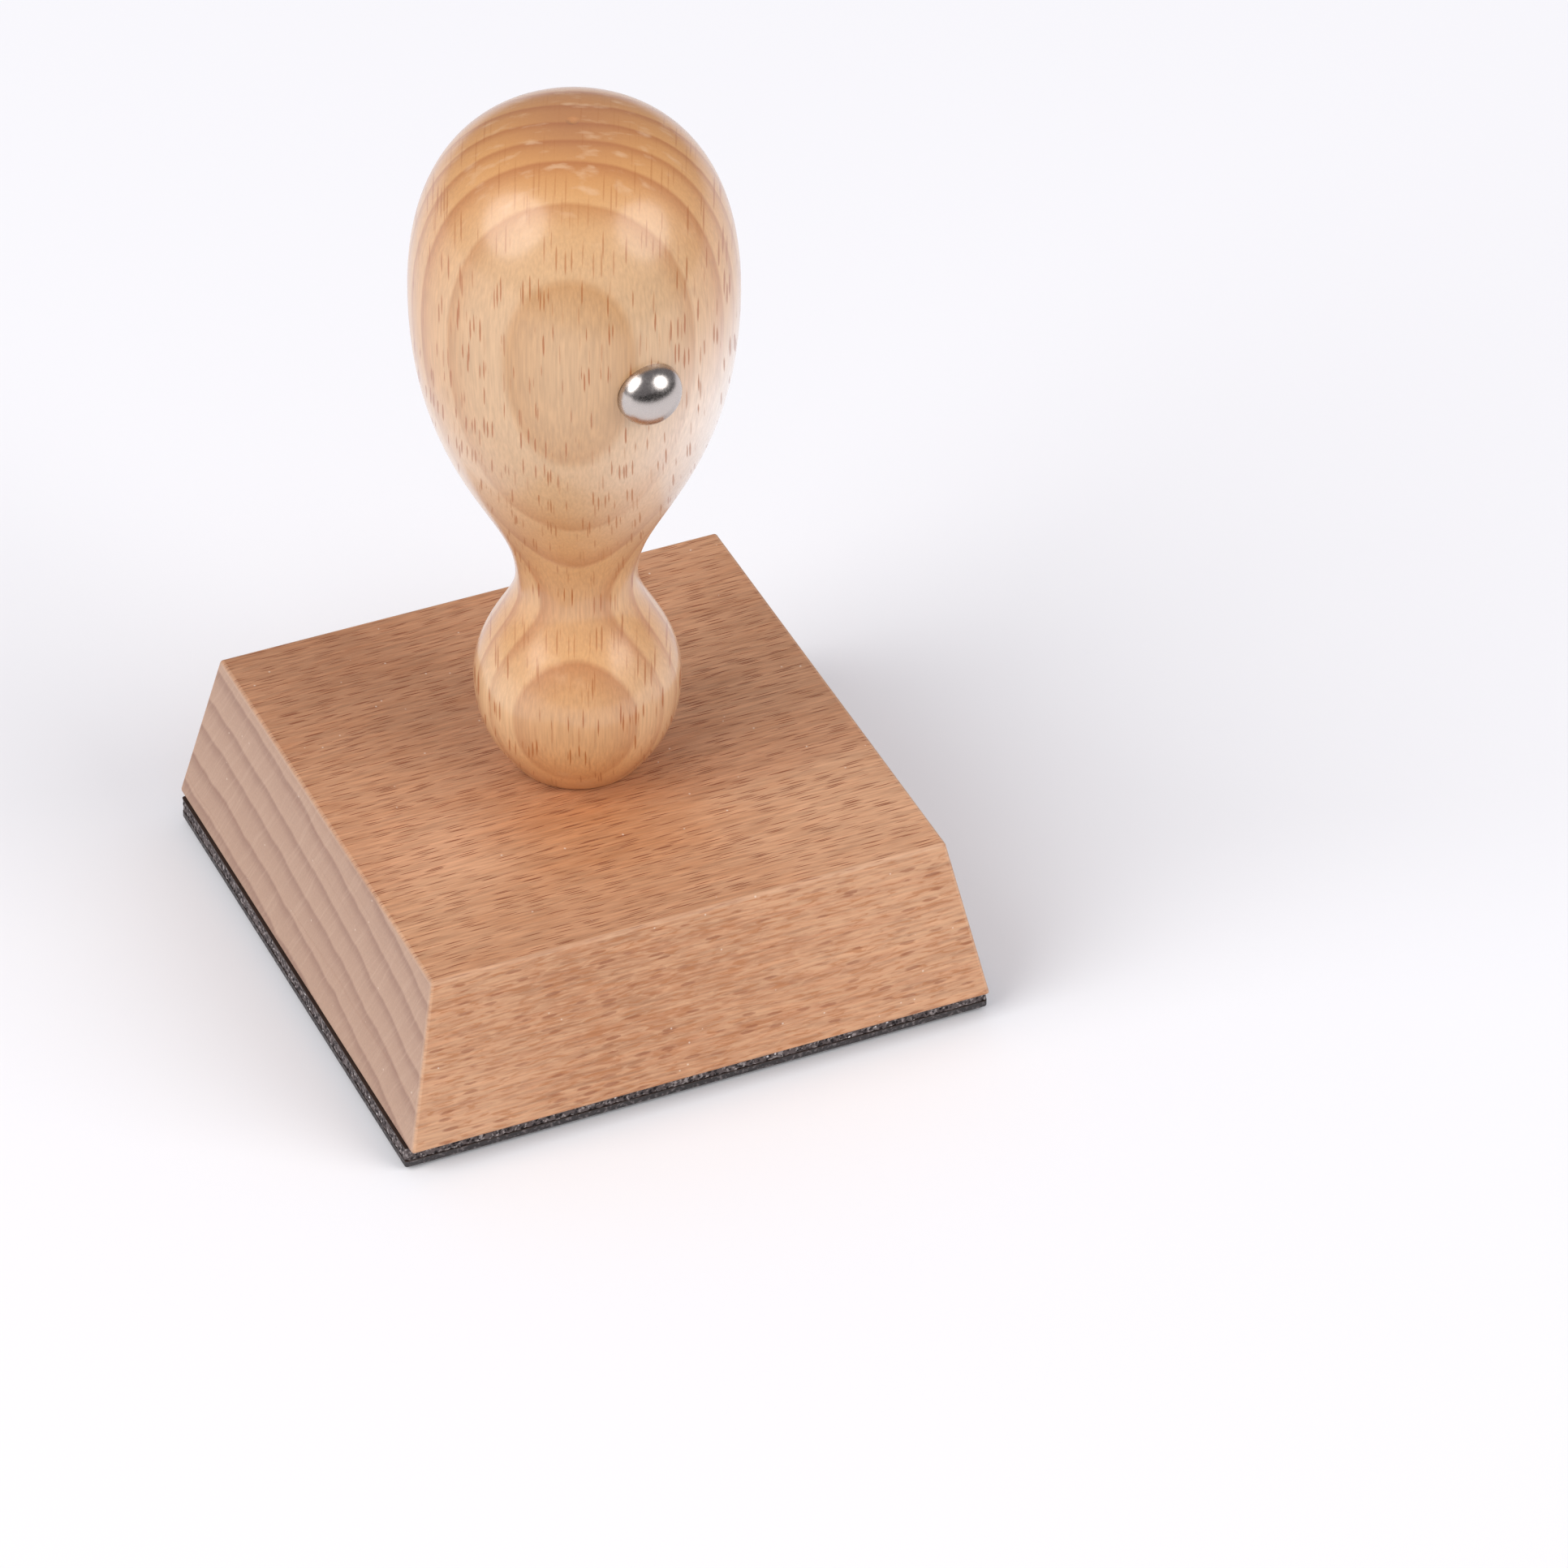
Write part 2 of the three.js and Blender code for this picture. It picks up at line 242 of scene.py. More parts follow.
# Matt card scatters light evenly, so the shadows on it stay soft and it shows no gloss.
table_material, tree, shader = start_material("matt_white_card")
shader.inputs["Base Color"].default_value = linear(TABLE_WHITE)
shader.inputs["Roughness"].default_value = 0.9
shader.inputs["Specular IOR Level"].default_value = 0.2
table.data.materials.append(table_material)
print("table:", 2 * TABLE_RADIUS, "m across")

# %% [markdown]
# ## The black flag
#
# Polished metal looks like metal only when it has something dark to reflect. In a studio, that is a
# black card, called a flag, just outside the view. The world could be made darker instead, but then all
# of the wood would be darker too. This flag stands low in front of the stamp, and only reflections see
# it: it throws no shadow, and no view shows it.

# %% The black flag
FLAG_AWAY = 0.25  # metres, as are the next three
FLAG_ASIDE = 0.05
FLAG_WIDTH = 1.6
FLAG_HEIGHT = 0.11
FLAG_TURN = math.radians(12)

bpy.ops.object.select_all(action="DESELECT")
bpy.ops.mesh.primitive_plane_add(
    size=1, location=(FLAG_ASIDE, -FLAG_AWAY, FLAG_HEIGHT / 2), rotation=(math.pi / 2, 0, FLAG_TURN),
)
flag = bpy.context.object
flag.name = "black_flag"
flag.scale = (FLAG_WIDTH, FLAG_HEIGHT, 1)
# Velvet swallows nearly all light, so the metal shows a clean dark band.
flag_material, tree, shader = start_material("black_velvet_card")
shader.inputs["Base Color"].default_value = linear("#171516")
shader.inputs["Roughness"].default_value = 1.0
shader.inputs["Specular IOR Level"].default_value = 0.0
flag.data.materials.append(flag_material)
flag.visible_camera = False
flag.visible_diffuse = False
flag.visible_shadow = False
print("flag:", FLAG_WIDTH, "x", FLAG_HEIGHT, "m")

# %% [markdown]
# ## The light
#
# The light is two big oval softboxes, one to the left and one in front on the right. Small lamps would
# throw hard shadows: the size of a lamp on the sky sets how soft a shadow is, and the shape of its
# reflection is the shape of the highlight on the lacquer. A lamp is described by its radiance, which is
# how bright its face is. Its power then follows: a flat lamp's power is its radiance times its area
# and pi.

# %% The softboxes
SOFTBOX_DISTANCE = 2.6  # metres


def softbox(name, azimuth, elevation, width, height, radiance):
    """A flat oval lamp that faces the stamp. Azimuth and elevation are in degrees, sizes in metres."""
    a, e = math.radians(azimuth), math.radians(elevation)
    toward = Vector((math.sin(a) * math.cos(e), -math.cos(a) * math.cos(e), math.sin(e)))
    bpy.ops.object.light_add(type="AREA", location=aim + toward * SOFTBOX_DISTANCE)
    lamp = bpy.context.object
    lamp.name = name
    lamp.rotation_euler = toward.to_track_quat("Z", "Y").to_euler()
    lamp.data.shape = "ELLIPSE"
    lamp.data.size = width
    lamp.data.size_y = height
    lamp.data.energy = math.pi * (math.pi / 4 * width * height) * radiance
    lamp.visible_camera = False
    return lamp


softbox("softbox_left", azimuth=-82, elevation=40, width=2.2, height=2.4, radiance=3.78)
softbox("softbox_right", azimuth=40, elevation=32, width=1.9, height=2.0, radiance=3.48)

# %% [markdown]
# ## The studio round it
#
# The walls of a studio fill the shadows, show dimly in polished surfaces, and make the pale backdrop.
# One grey world can't do all three, so this one asks what kind of ray meets it. A camera ray sees the
# backdrop, a diffuse ray meets the bright fill, and a reflection sees the walls, which are dim. The
# renderer would sample the world as if it had one brightness only, so that is turned off.

# %% The studio
STUDIO_GREY = "#b8b6bc"
BACKDROP_WHITE = "#f5f4f8"
WALLS_SEEN = 0.4  # the walls' strength in reflections
WALLS_FILL = 1.11  # the walls' strength as fill light

world = bpy.data.worlds.new("dim_studio")
bpy.context.scene.world = world
world.use_nodes = True
world.node_tree.nodes.clear()
ray_kind = add(world.node_tree, "LightPath")
dimness = add(
    world.node_tree, "MapRange",
    {"Value": ray_kind.outputs["Is Diffuse Ray"], "To Min": WALLS_SEEN, "To Max": WALLS_FILL},
)
studio = add(world.node_tree, "Background", {"Color": STUDIO_GREY, "Strength": dimness.outputs[0]})
backdrop = add(world.node_tree, "Background", {"Color": BACKDROP_WHITE, "Strength": 1.0})
sky = add(
    world.node_tree, "MixShader",
    {0: ray_kind.outputs["Is Camera Ray"], 1: studio.outputs[0], 2: backdrop.outputs[0]},
)
add(world.node_tree, "OutputWorld", {"Surface": sky.outputs[0]})
world.cycles.sampling_method = "NONE"
bpy.context.scene.view_settings.view_transform = "Standard"
print("world:", world.name)

# %% [markdown]
# ## The figure of beech
#
# Both wooden pieces are beech, so one function draws the wood for both, as a solid that the piece is
# cut from. That makes every face agree with its neighbours, as it does in real timber. Beech shows three
# things. Growth rings are cylinders round the pith: each starts pale, darkens and ends sharply. Rays
# are thin sheets that run out from the pith: cut across they are short dark dashes, cut along they are
# broad flecks. Fibres run along the grain and give fine streaks.
#
# The figure is drawn in the tree's own axes, in millimetres: X runs along the grain, Y along the
# rings, and Z out from the pith to the bark.

# %% Stretched noise
CENTRE = (-0.5, -0.5, -0.5)  # added to a noise's colour, which runs from 0 to 1


def stretched_noise(tree, place, lengths, detail=2.0, waver=0.0):
    """Noise whose patches have these lengths, in mm, along the grain, along the rings and outwards.
    waver is how strongly they are drawn out of line."""
    per_mm = [1 / length for length in lengths]
    scaled = add(tree, "VectorMath", {0: place, 1: per_mm}, operation="MULTIPLY")
    settings = {"Vector": scaled.outputs[0], "Scale": 1.0, "Detail": detail, "Distortion": waver}
    return add(tree, "TexNoise", settings)


print("noise strays to either side of 0 once", CENTRE, "is added")

# %% Growth rings
RING_WAVE = (14, 2.6, 40)  # mm
RING_EDGE = 0.16  # mm: half the width over which one ring ends and the next begins
SPARE_WOOD = 4  # mm of wood drawn before the first ring's end and after the last
EARLY_WOOD = 0.62  # the share of a ring that stays pale


def growth_rings(tree, wood, pith, edges, ripple):
    """Where a point lies in its growth ring, from 1, pale and early, to 0, dark and late.
    pith is the pith's place along the rings and its depth, and edges are the rings' ends, in mm."""
    centred = add(tree, "VectorMath", {0: wood, 1: (0, -pith[0], pith[1])}, operation="ADD")
    flat = add(tree, "VectorMath", {0: centred.outputs[0], 1: (0, 1, 1)}, operation="MULTIPLY")
    radius = add(tree, "VectorMath", {0: flat.outputs[0]}, operation="LENGTH")
    waves = stretched_noise(tree, wood, RING_WAVE, detail=3)
    wave = add(tree, "MapRange", {"Value": waves.outputs["Fac"], "To Min": -ripple, "To Max": ripple})
    growth = add(tree, "Math", {0: radius.outputs["Value"], 1: wave.outputs[0]}, operation="ADD")
    first, last = edges[0] - SPARE_WOOD, edges[-1] + SPARE_WOOD
    along = add(
        tree, "MapRange",
        {"Value": growth.outputs[0], "From Min": first + pith[1], "From Max": last + pith[1]},
    )
    ramp = add(tree, "ValToRGB", {0: along.outputs[0]})
    stops = [(first, 0.8)]
    for start, end in zip([first] + edges, edges):
        stops.append((start + EARLY_WOOD * (end - start), 0.72))
        stops.append((end - RING_EDGE, 0.0))
        stops.append((end + RING_EDGE, 1.0))
    elements = ramp.color_ramp.elements
    while len(elements) < len(stops):
        elements.new(1.0)
    for element, (place, value) in zip(elements, stops):
        element.position = (place - first) / (last - first)
        element.color = (value, value, value, 1)
    return ramp.outputs["Color"]


print("a ring's edge is", 2 * RING_EDGE, "mm wide")

# %% Rays
RAY_RAGGEDNESS = (0.25, 0.3, 0.3)  # how far rays stray, as a share of their spacing


def ray_sheets(tree, wood, spacing, size, present):
    """The wood's rays, from 0 to 1. spacing is from one ray to the next, in mm, along the grain, along
    the rings and outwards, size is a ray's half length as a share of its spacing, and present is how
    many of the rays are drawn, from 0 to 1."""
    per_mm = [1 / length for length in spacing]
    scaled = add(tree, "VectorMath", {0: wood, 1: per_mm}, operation="MULTIPLY")
    ragged = stretched_noise(tree, wood, [length * 0.3 for length in spacing])
    centred = add(tree, "VectorMath", {0: ragged.outputs["Color"], 1: CENTRE}, operation="ADD")
    shift = add(tree, "VectorMath", {0: centred.outputs[0], 1: RAY_RAGGEDNESS}, operation="MULTIPLY")
    bent = add(tree, "VectorMath", {0: scaled.outputs[0], 1: shift.outputs[0]}, operation="ADD")
    cells = add(tree, "TexVoronoi", {"Vector": bent.outputs[0], "Scale": 1.0, "Randomness": 0.9})
    inside = add(
        tree, "MapRange",
        {"Value": cells.outputs["Distance"], "From Min": size, "From Max": size * 0.6},
        interpolation_type="SMOOTHSTEP",
    )
    chance = add(tree, "SeparateColor", {0: cells.outputs["Color"]})
    drawn = add(
        tree, "MapRange",
        {"Value": chance.outputs[0], "From Min": 1 - present, "From Max": 1 - present * 0.5},
    )
    rays = add(tree, "Math", {0: inside.outputs[0], 1: drawn.outputs[0]}, operation="MULTIPLY")
    return rays.outputs[0]


print("rays stray by up to", RAY_RAGGEDNESS[1] / 2, "of their spacing along the rings")

# %% The whole figure
GRAIN_WAVE = (30, 7, 7)  # mm, as are the next two
FIBRE = (5, 0.24, 0.24)
BROAD_TONE = (70, 11, 9)


def beech_figure(tree, lie, pith, edges, ripple, drift):
    """Draws beech. lie turns the piece's axes to the tree's own, and drift is how far, in mm, the grain
    wanders. Returns the wood's coordinates, and its rings, fibres and broad tone, each from 0 to 1."""
    coordinates = add(tree, "TexCoord")
    placed = add(
        tree, "Mapping",
        {"Vector": coordinates.outputs["Object"], "Scale": (1 / MM, 1 / MM, 1 / MM), "Rotation": lie},
    )
    waves = stretched_noise(tree, placed.outputs[0], GRAIN_WAVE)
    centred = add(tree, "VectorMath", {0: waves.outputs["Color"], 1: CENTRE}, operation="ADD")
    bent = add(tree, "VectorMath", {0: centred.outputs[0], 1: (0, drift, drift)}, operation="MULTIPLY")
    drifted = add(tree, "VectorMath", {0: placed.outputs[0], 1: bent.outputs[0]}, operation="ADD")
    wood = drifted.outputs[0]
    rings = growth_rings(tree, wood, pith, edges, ripple)
    fibres = stretched_noise(tree, wood, FIBRE, detail=4).outputs["Fac"]
    tone = stretched_noise(tree, wood, BROAD_TONE).outputs["Fac"]
    return wood, coordinates, rings, fibres, tone


print("fibres:", FIBRE[0], "mm long and", FIBRE[1], "mm wide")

# %% End grain and patches
SQUARE_ON = 0.95  # the cosine from which a face counts as square to a direction


def end_grain(tree, coordinates, along, start=0.45):
    """How squarely a face cuts across the grain, from 0 to 1. along is the grain's direction."""
    normal = coordinates.outputs["Normal"]
    facing = add(tree, "VectorMath", {0: normal, 1: along}, operation="DOT_PRODUCT")
    size = add(tree, "Math", {0: facing.outputs["Value"]}, operation="ABSOLUTE")
    square = add(
        tree, "MapRange", {"Value": size.outputs[0], "From Min": start, "From Max": SQUARE_ON},
    )
    return square.outputs[0]


def patch(tree, wood, centre, radius, amount):
    """A soft round patch in the wood: amount at its centre and 0 at its radius, in mm."""
    gap = add(tree, "VectorMath", {0: wood, 1: centre}, operation="DISTANCE")
    return add(
        tree, "MapRange",
        {"Value": gap.outputs["Value"], "From Min": radius, "From Max": 0.0, "To Max": amount},
        interpolation_type="SMOOTHSTEP",
    ).outputs[0]


print("end grain is full within", round(math.degrees(math.acos(SQUARE_ON))), "degrees of square")

# %% [markdown]
# ## Bare beech for the mount
#
# The block was sawn, bevelled and sanded, and never varnished, so it is dry and hardly shines. Its grain
# runs from left to right. The pith lay about 300 mm under the block and a little behind its middle, so
# the rings are flat arcs that drop towards the front. End grain drinks in light and turns greyish pink.
#
# The top is cut along the rings, so the rays end there as fine dashes. The front and the back are cut
# nearly along the rays, so they show them as broad flecks, with a soft mottle between them. The two are
# drawn apart, and the way a face looks chooses between them.

# %% The mount's rings and patches
MOUNT_PITH = (24.8, 300)  # mm: how far behind the middle, and how far below the table
MOUNT_RINGS = [0.9, 4.8, 8.55, 12.55, 16.05, 20.05, 23.4, 27.0]  # mm up from the table

# Where the block is darker, warmer or paler: the patch's centre and radius in mm, how strong it is, and
# its colour. The first darkens the top behind the handle on the left: partly darker wood, partly painted
# shade of the handle. The second is painted shade to the right of the ball, where the handle's shadow
# falls. The third makes the top darker and warmer in front of and under the ball, as painted shade of the
# ball. The rest make the block paler or darker in places.
MOUNT_TONE_AND_SHADE_PATCHES = [
    ((-14, 26, 22), 38, 0.42, "#97603f"),
    ((26, 18, 22), 26, 0.2, "#97603f"),
    ((-3, -12, 22), 17, 0.6, "#b9743f"),
    ((-20, -11, 22), 12, 0.5, "#dba984"),
    ((34, -18, 10), 34, 0.35, "#d8ae8c"),
    ((-26, -33, 4), 16, 0.35, "#d8ae8c"),
    ((-10, -31, 14), 26, 0.4, "#a8734f"),
]
print("the mount's rings and patches:", len(MOUNT_RINGS), "and", len(MOUNT_TONE_AND_SHADE_PATCHES))

# %% Dashes and flecks
DASH_SPACING = (3.8, 0.2, 60)  # mm, on the faces that lie flat
FLECK_SPACING = (3.0, 60, 0.62)  # mm, on the faces that stand
FLECK_STRENGTH = 0.6


def dashes_and_flecks(tree, wood, lying):
    """The rays: fine dashes where a face lies flat, and broad soft flecks where it stands."""
    dashes = ray_sheets(tree, wood, spacing=DASH_SPACING, size=0.37, present=1.0)
    flecks = ray_sheets(tree, wood, spacing=FLECK_SPACING, size=0.36, present=0.6)
    soft_flecks = add(tree, "Math", {0: flecks, 1: FLECK_STRENGTH}, operation="MULTIPLY")
    return add(tree, "Mix", {0: lying, 2: soft_flecks.outputs[0], 3: dashes}).outputs[0]


print("dashes:", DASH_SPACING[1], "mm apart; flecks:", FLECK_SPACING[2], "mm apart")

# %% Mottle and ripples
MOTTLE = (7, 1.6, 1.3)  # mm
RIPPLE = (2.0, 0.42, 0.34)  # mm
RIPPLE_ON_SIDES = 0.55
RIPPLE_ON_TOP = 0.1


def mottle(tree, wood):
    """Soft warm clouds between the rays."""
    clouds = stretched_noise(tree, wood, MOTTLE, detail=3)
    return add(
        tree, "MapRange",
        {"Value": clouds.outputs["Fac"], "From Min": 0.42, "From Max": 0.72, "To Max": 0.4},
    ).outputs[0]


def ripples(tree, wood, across, lying):
    """Short wavering ripples, strong on the sides and gone on the ends: the pale and the dark ones."""
    waves = stretched_noise(tree, wood, RIPPLE, detail=4, waver=0.7).outputs["Fac"]
    on_sides = add(
        tree, "MapRange", {"Value": lying, "To Min": RIPPLE_ON_SIDES, "To Max": RIPPLE_ON_TOP},
    )
    off_ends = add(tree, "Math", {0: 1.0, 1: across}, operation="SUBTRACT")
    depth = add(
        tree, "Math", {0: on_sides.outputs[0], 1: off_ends.outputs[0]}, operation="MULTIPLY",
    ).outputs[0]
    pale = add(tree, "MapRange", {"Value": waves, "From Min": 0.5, "From Max": 0.66, "To Max": depth})
    dark = add(tree, "MapRange", {"Value": waves, "From Min": 0.47, "From Max": 0.36, "To Max": depth})
    return pale.outputs[0], dark.outputs[0]


print("ripples:", RIPPLE[0], "mm long")

# %% Saw marks and dust
SAW_LEAN = math.radians(-28)  # how far the marks lean from upright
SAW_MARK = (60, 0.3, 7)  # mm
SPECKS_PER_MM = 0.45


def saw_marks(tree, wood, across):
    """Fine pale strokes that the saw left on the end grain."""
    sawn = add(tree, "Mapping", {"Vector": wood, "Rotation": (SAW_LEAN, 0, 0)})
    strokes = stretched_noise(tree, sawn.outputs[0], SAW_MARK)
    marked = add(
        tree, "MapRange",
        {"Value": strokes.outputs["Fac"], "From Min": 0.5, "From Max": 0.75, "To Max": 0.2},
    )
    return add(tree, "Math", {0: marked.outputs[0], 1: across}, operation="MULTIPLY").outputs[0]


def dust(tree, wood):
    """Specks of sanding dust, which stay in the open pores of bare wood."""
    grains = add(tree, "TexVoronoi", {"Vector": wood, "Scale": SPECKS_PER_MM})
    return add(
        tree, "MapRange",
        {"Value": grains.outputs["Distance"], "From Min": 0.06, "From Max": 0.035, "To Max": 0.5},
    ).outputs[0]


print("saw marks:", SAW_MARK[1], "mm wide")

# %% The colours of bare beech
def long_grain_colour(tree, wood, rings, tone):
    """Faces along the grain: warm tan, with rings, clouds and patches, some of them painted shade."""
    toned = add(tree, "Math", {0: tone, 1: 0.35}, operation="MULTIPLY")
    layers = [
        (rings, "#cb9b76", "MIX"),
        (toned.outputs[0], "#a9704e", "MIX"),
        (mottle(tree, wood), "#b0754d", "MIX"),
    ]
    # Some patches are painted shade, where the handle shades the top.
    for centre, radius, amount, patch_colour in MOUNT_TONE_AND_SHADE_PATCHES:
        layers.append((patch(tree, wood, centre, radius, amount), patch_colour, "MIX"))
    return layered(tree, "#bf8a66", layers)


def end_grain_colour(tree, rings):
    """Faces across the grain: greyer and pinker."""
    return layered(tree, "#9b7a69", [(rings, "#b59580", "MIX")])


print("colours of bare beech are ready")

# %% Bare beech
FIBRE_BUMP_MM = 0.03


def bare_beech(name, wear):
    """Sanded beech with no finish. wear is how far handling has paled it, from 0 to 1."""
    made, tree, shader = start_material(name)
    wood, coordinates, rings, fibres, tone = beech_figure(
        tree, lie=Euler((0, 0, 0)), pith=MOUNT_PITH, edges=MOUNT_RINGS, ripple=0.35, drift=1.2,
    )
    across = end_grain(tree, coordinates, (1, 0, 0))
    lying = end_grain(tree, coordinates, (0, 0, 1))
    rays = dashes_and_flecks(tree, wood, lying)
    ray_tint = add(tree, "MapRange", {"Value": across, "To Min": 0.85, "To Max": 0.12})
    ray_strength = add(tree, "Math", {0: rays, 1: ray_tint.outputs[0]}, operation="MULTIPLY")
    pale_ripple, dark_ripple = ripples(tree, wood, across, lying)
    streak = add(
        tree, "MapRange",
        {"Value": fibres, "From Min": 0.3, "From Max": 0.7, "To Min": 0.78, "To Max": 1.17},
    )
    along_grain = add(tree, "MapRange", {"Value": across, "To Min": 1.0, "To Max": 0.3})
    colour = layered(tree, long_grain_colour(tree, wood, rings, tone), [
        (across, end_grain_colour(tree, rings), "MIX"),
        (along_grain.outputs[0], streak.outputs[0], "MULTIPLY"),
        (saw_marks(tree, wood, across), "#cfb29c", "MIX"),
        (pale_ripple, "#d0a27c", "MIX"),
        (dark_ripple, "#a86a3c", "MIX"),
        (ray_strength.outputs[0], "#844729", "MIX"),
        (dust(tree, wood), "#ecdccb", "MIX"),
        (wear, "#e6c9ac", "MIX"),
    ])
    tree.links.new(colour, shader.inputs["Base Color"])
    rough = add(tree, "MapRange", {"Value": fibres, "To Min": 0.55, "To Max": 0.75})
    tree.links.new(rough.outputs[0], shader.inputs["Roughness"])
    shader.inputs["IOR"].default_value = 1.45
    height = add(tree, "Math", {0: fibres, 1: rays}, operation="SUBTRACT")
    bump = add(
        tree, "Bump", {"Height": height.outputs[0], "Distance": FIBRE_BUMP_MM * MM, "Strength": 0.6},
    )
    tree.links.new(bump.outputs[0], shader.inputs["Normal"])
    return made


# Sanded beech is matt, and its fibres catch the light as fine streaks. On the arrises, hands and
# sandpaper have worn it paler.
sanded_beech = bare_beech("sanded_beech", wear=0.0)
worn_beech = bare_beech("sanded_beech_worn_arris", wear=0.14)
print("bare beech:", sanded_beech.name, "and", worn_beech.name)

# %% [markdown]
# ## Lacquered beech for the handle
#
# The handle was turned on a lathe with its grain upright, then dipped in clear gloss lacquer. The
# lacquer is a smooth coat over the wood: it darkens and warms the wood under it, most of all on the
# end grain of the crown, and gives clear soft reflections. The pith lay in front of the handle, and the
# trunk leaned a little, so the rings show as ovals on the front. The crown has rubbed patches, where
# the lacquer has turned pale.

# %% The handle's rings and patches
HANDLE_PITH = (0, 220)  # mm: how far to one side, and how far in front
HANDLE_RINGS = [-17.8, -13.6, -9.5, -6.7, -3.9, -0.7, 2.8, 6.1, 9.6, 13.0]  # mm behind the axis

# Each patch is its centre and radius in mm, how strong it is, and its colour.
HANDLE_PATCHES = [
    ((66, 16, -7), 20, 1.0, "#f6e8dc"),
    ((58, 9, -12), 12, 0.3, "#e0c8ae"),
    ((60, -15, -6), 17, 0.75, "#f1dec8"),
    ((32, 9, -7), 9, 0.35, "#e0c2a2"),
    ((32, -9, -8), 9, 0.4, "#eccca2"),
    ((98, 0, -4), 11, 0.5, "#a3674a"),
    ((22, 0, -11), 10, 0.6, "#e9b274"),
]
print("the handle's rings and patches:", len(HANDLE_RINGS), "and", len(HANDLE_PATCHES))

# %% How the handle lay in the trunk
TRUNK_LEAN = 0.037  # how far the trunk leaned, per mm of height

outward = -Vector((math.sin(CAMERA_AZIMUTH), -math.cos(CAMERA_AZIMUTH), 0))
grain = (Vector((0, 0, 1)) + TRUNK_LEAN * outward).normalized()
outward = (outward - TRUNK_LEAN * Vector((0, 0, 1))).normalized()
handle_lie = Matrix((grain, outward.cross(grain), outward)).to_euler()
print("the grain leans by", round(math.degrees(grain.angle(Vector((0, 0, 1)))), 1), "degrees")

# %% The figure under the lacquer
HANDLE_RAY_SPACING = (4.2, 0.31, 9)  # mm
RUBBED_SPOT = (6, 2.6, 1.1)  # mm

lacquered_beech, tree, shader = start_material("lacquered_beech")
wood, coordinates, rings, fibres, tone = beech_figure(
    tree, lie=handle_lie, pith=HANDLE_PITH, edges=HANDLE_RINGS, ripple=0.08, drift=0.15,
)
across = end_grain(tree, coordinates, (0, 0, 1), start=0.15)
rays = ray_sheets(tree, wood, spacing=HANDLE_RAY_SPACING, size=0.35, present=0.8)
ray_tint = add(tree, "MapRange", {"Value": across, "To Min": 0.85, "To Max": 0.25})
ray_strength = add(tree, "Math", {0: rays, 1: ray_tint.outputs[0]}, operation="MULTIPLY")
depth = add(tree, "SeparateXYZ", {0: wood})
inner = add(tree, "MapRange", {"Value": depth.outputs["Z"], "From Min": -11.0, "From Max": -16.0})
soaked = add(tree, "Math", {0: across, 1: 0.9}, operation="MULTIPLY")
toned = add(tree, "Math", {0: tone, 1: 0.25}, operation="MULTIPLY")
streak_depth = add(tree, "MapRange", {"Value": across, "To Min": 1.0, "To Max": 0.2})
streak = add(
    tree, "MapRange",
    {"Value": fibres, "From Min": 0.3, "From Max": 0.7, "To Min": 0.86, "To Max": 1.08},
)
rubbing = stretched_noise(tree, wood, RUBBED_SPOT, detail=3)
rubbed = add(
    tree, "MapRange",
    {"Value": rubbing.outputs["Fac"], "From Min": 0.56, "From Max": 0.72, "To Max": 0.55},
)
rubbed_crown = add(tree, "Math", {0: rubbed.outputs[0], 1: across}, operation="MULTIPLY")
print("rays in the handle:", HANDLE_RAY_SPACING[1], "mm apart along the rings")

# %% Lacquered beech
# The coat gives clear highlights over wood that is itself half matt, which the eye reads as depth.
early = layered(tree, "#d5a878", [(inner.outputs[0], "#d2af88", "MIX")])
late = layered(tree, "#b88053", [(inner.outputs[0], "#c19567", "MIX")])
colour = layered(tree, late, [
    (rings, early, "MIX"),
    (soaked.outputs[0], "#fde6b8", "MULTIPLY"),
    (toned.outputs[0], "#cf9763", "MIX"),
] + [(patch(tree, wood, centre, radius, amount), patch_colour, "MIX")
     for centre, radius, amount, patch_colour in HANDLE_PATCHES] + [
    (streak_depth.outputs[0], streak.outputs[0], "MULTIPLY"),
    (ray_strength.outputs[0], "#a55e25", "MIX"),
    (rubbed_crown.outputs[0], "#ddb48c", "MIX"),
])
tree.links.new(colour, shader.inputs["Base Color"])
shader.inputs["Roughness"].default_value = 0.45
shader.inputs["IOR"].default_value = 1.48
shader.inputs["Coat Weight"].default_value = 1.0
shader.inputs["Coat Roughness"].default_value = 0.2
shader.inputs["Coat IOR"].default_value = 1.5
print("lacquered beech:", len(tree.nodes), "nodes")

# %% [markdown]
# ## Plated metal
#
# The stud cap is pressed from sheet and nickel plated. The screw and the nail are steel with a zinc
# plate. Both platings differ only in colour, in how rough they are and in the size of their marks, so
# one function makes both. A noise stretched along one axis draws the rubbing marks. Real marks are a
# few hundredths of a millimetre wide, which is too fine to show, so they are drawn several times as
# wide.

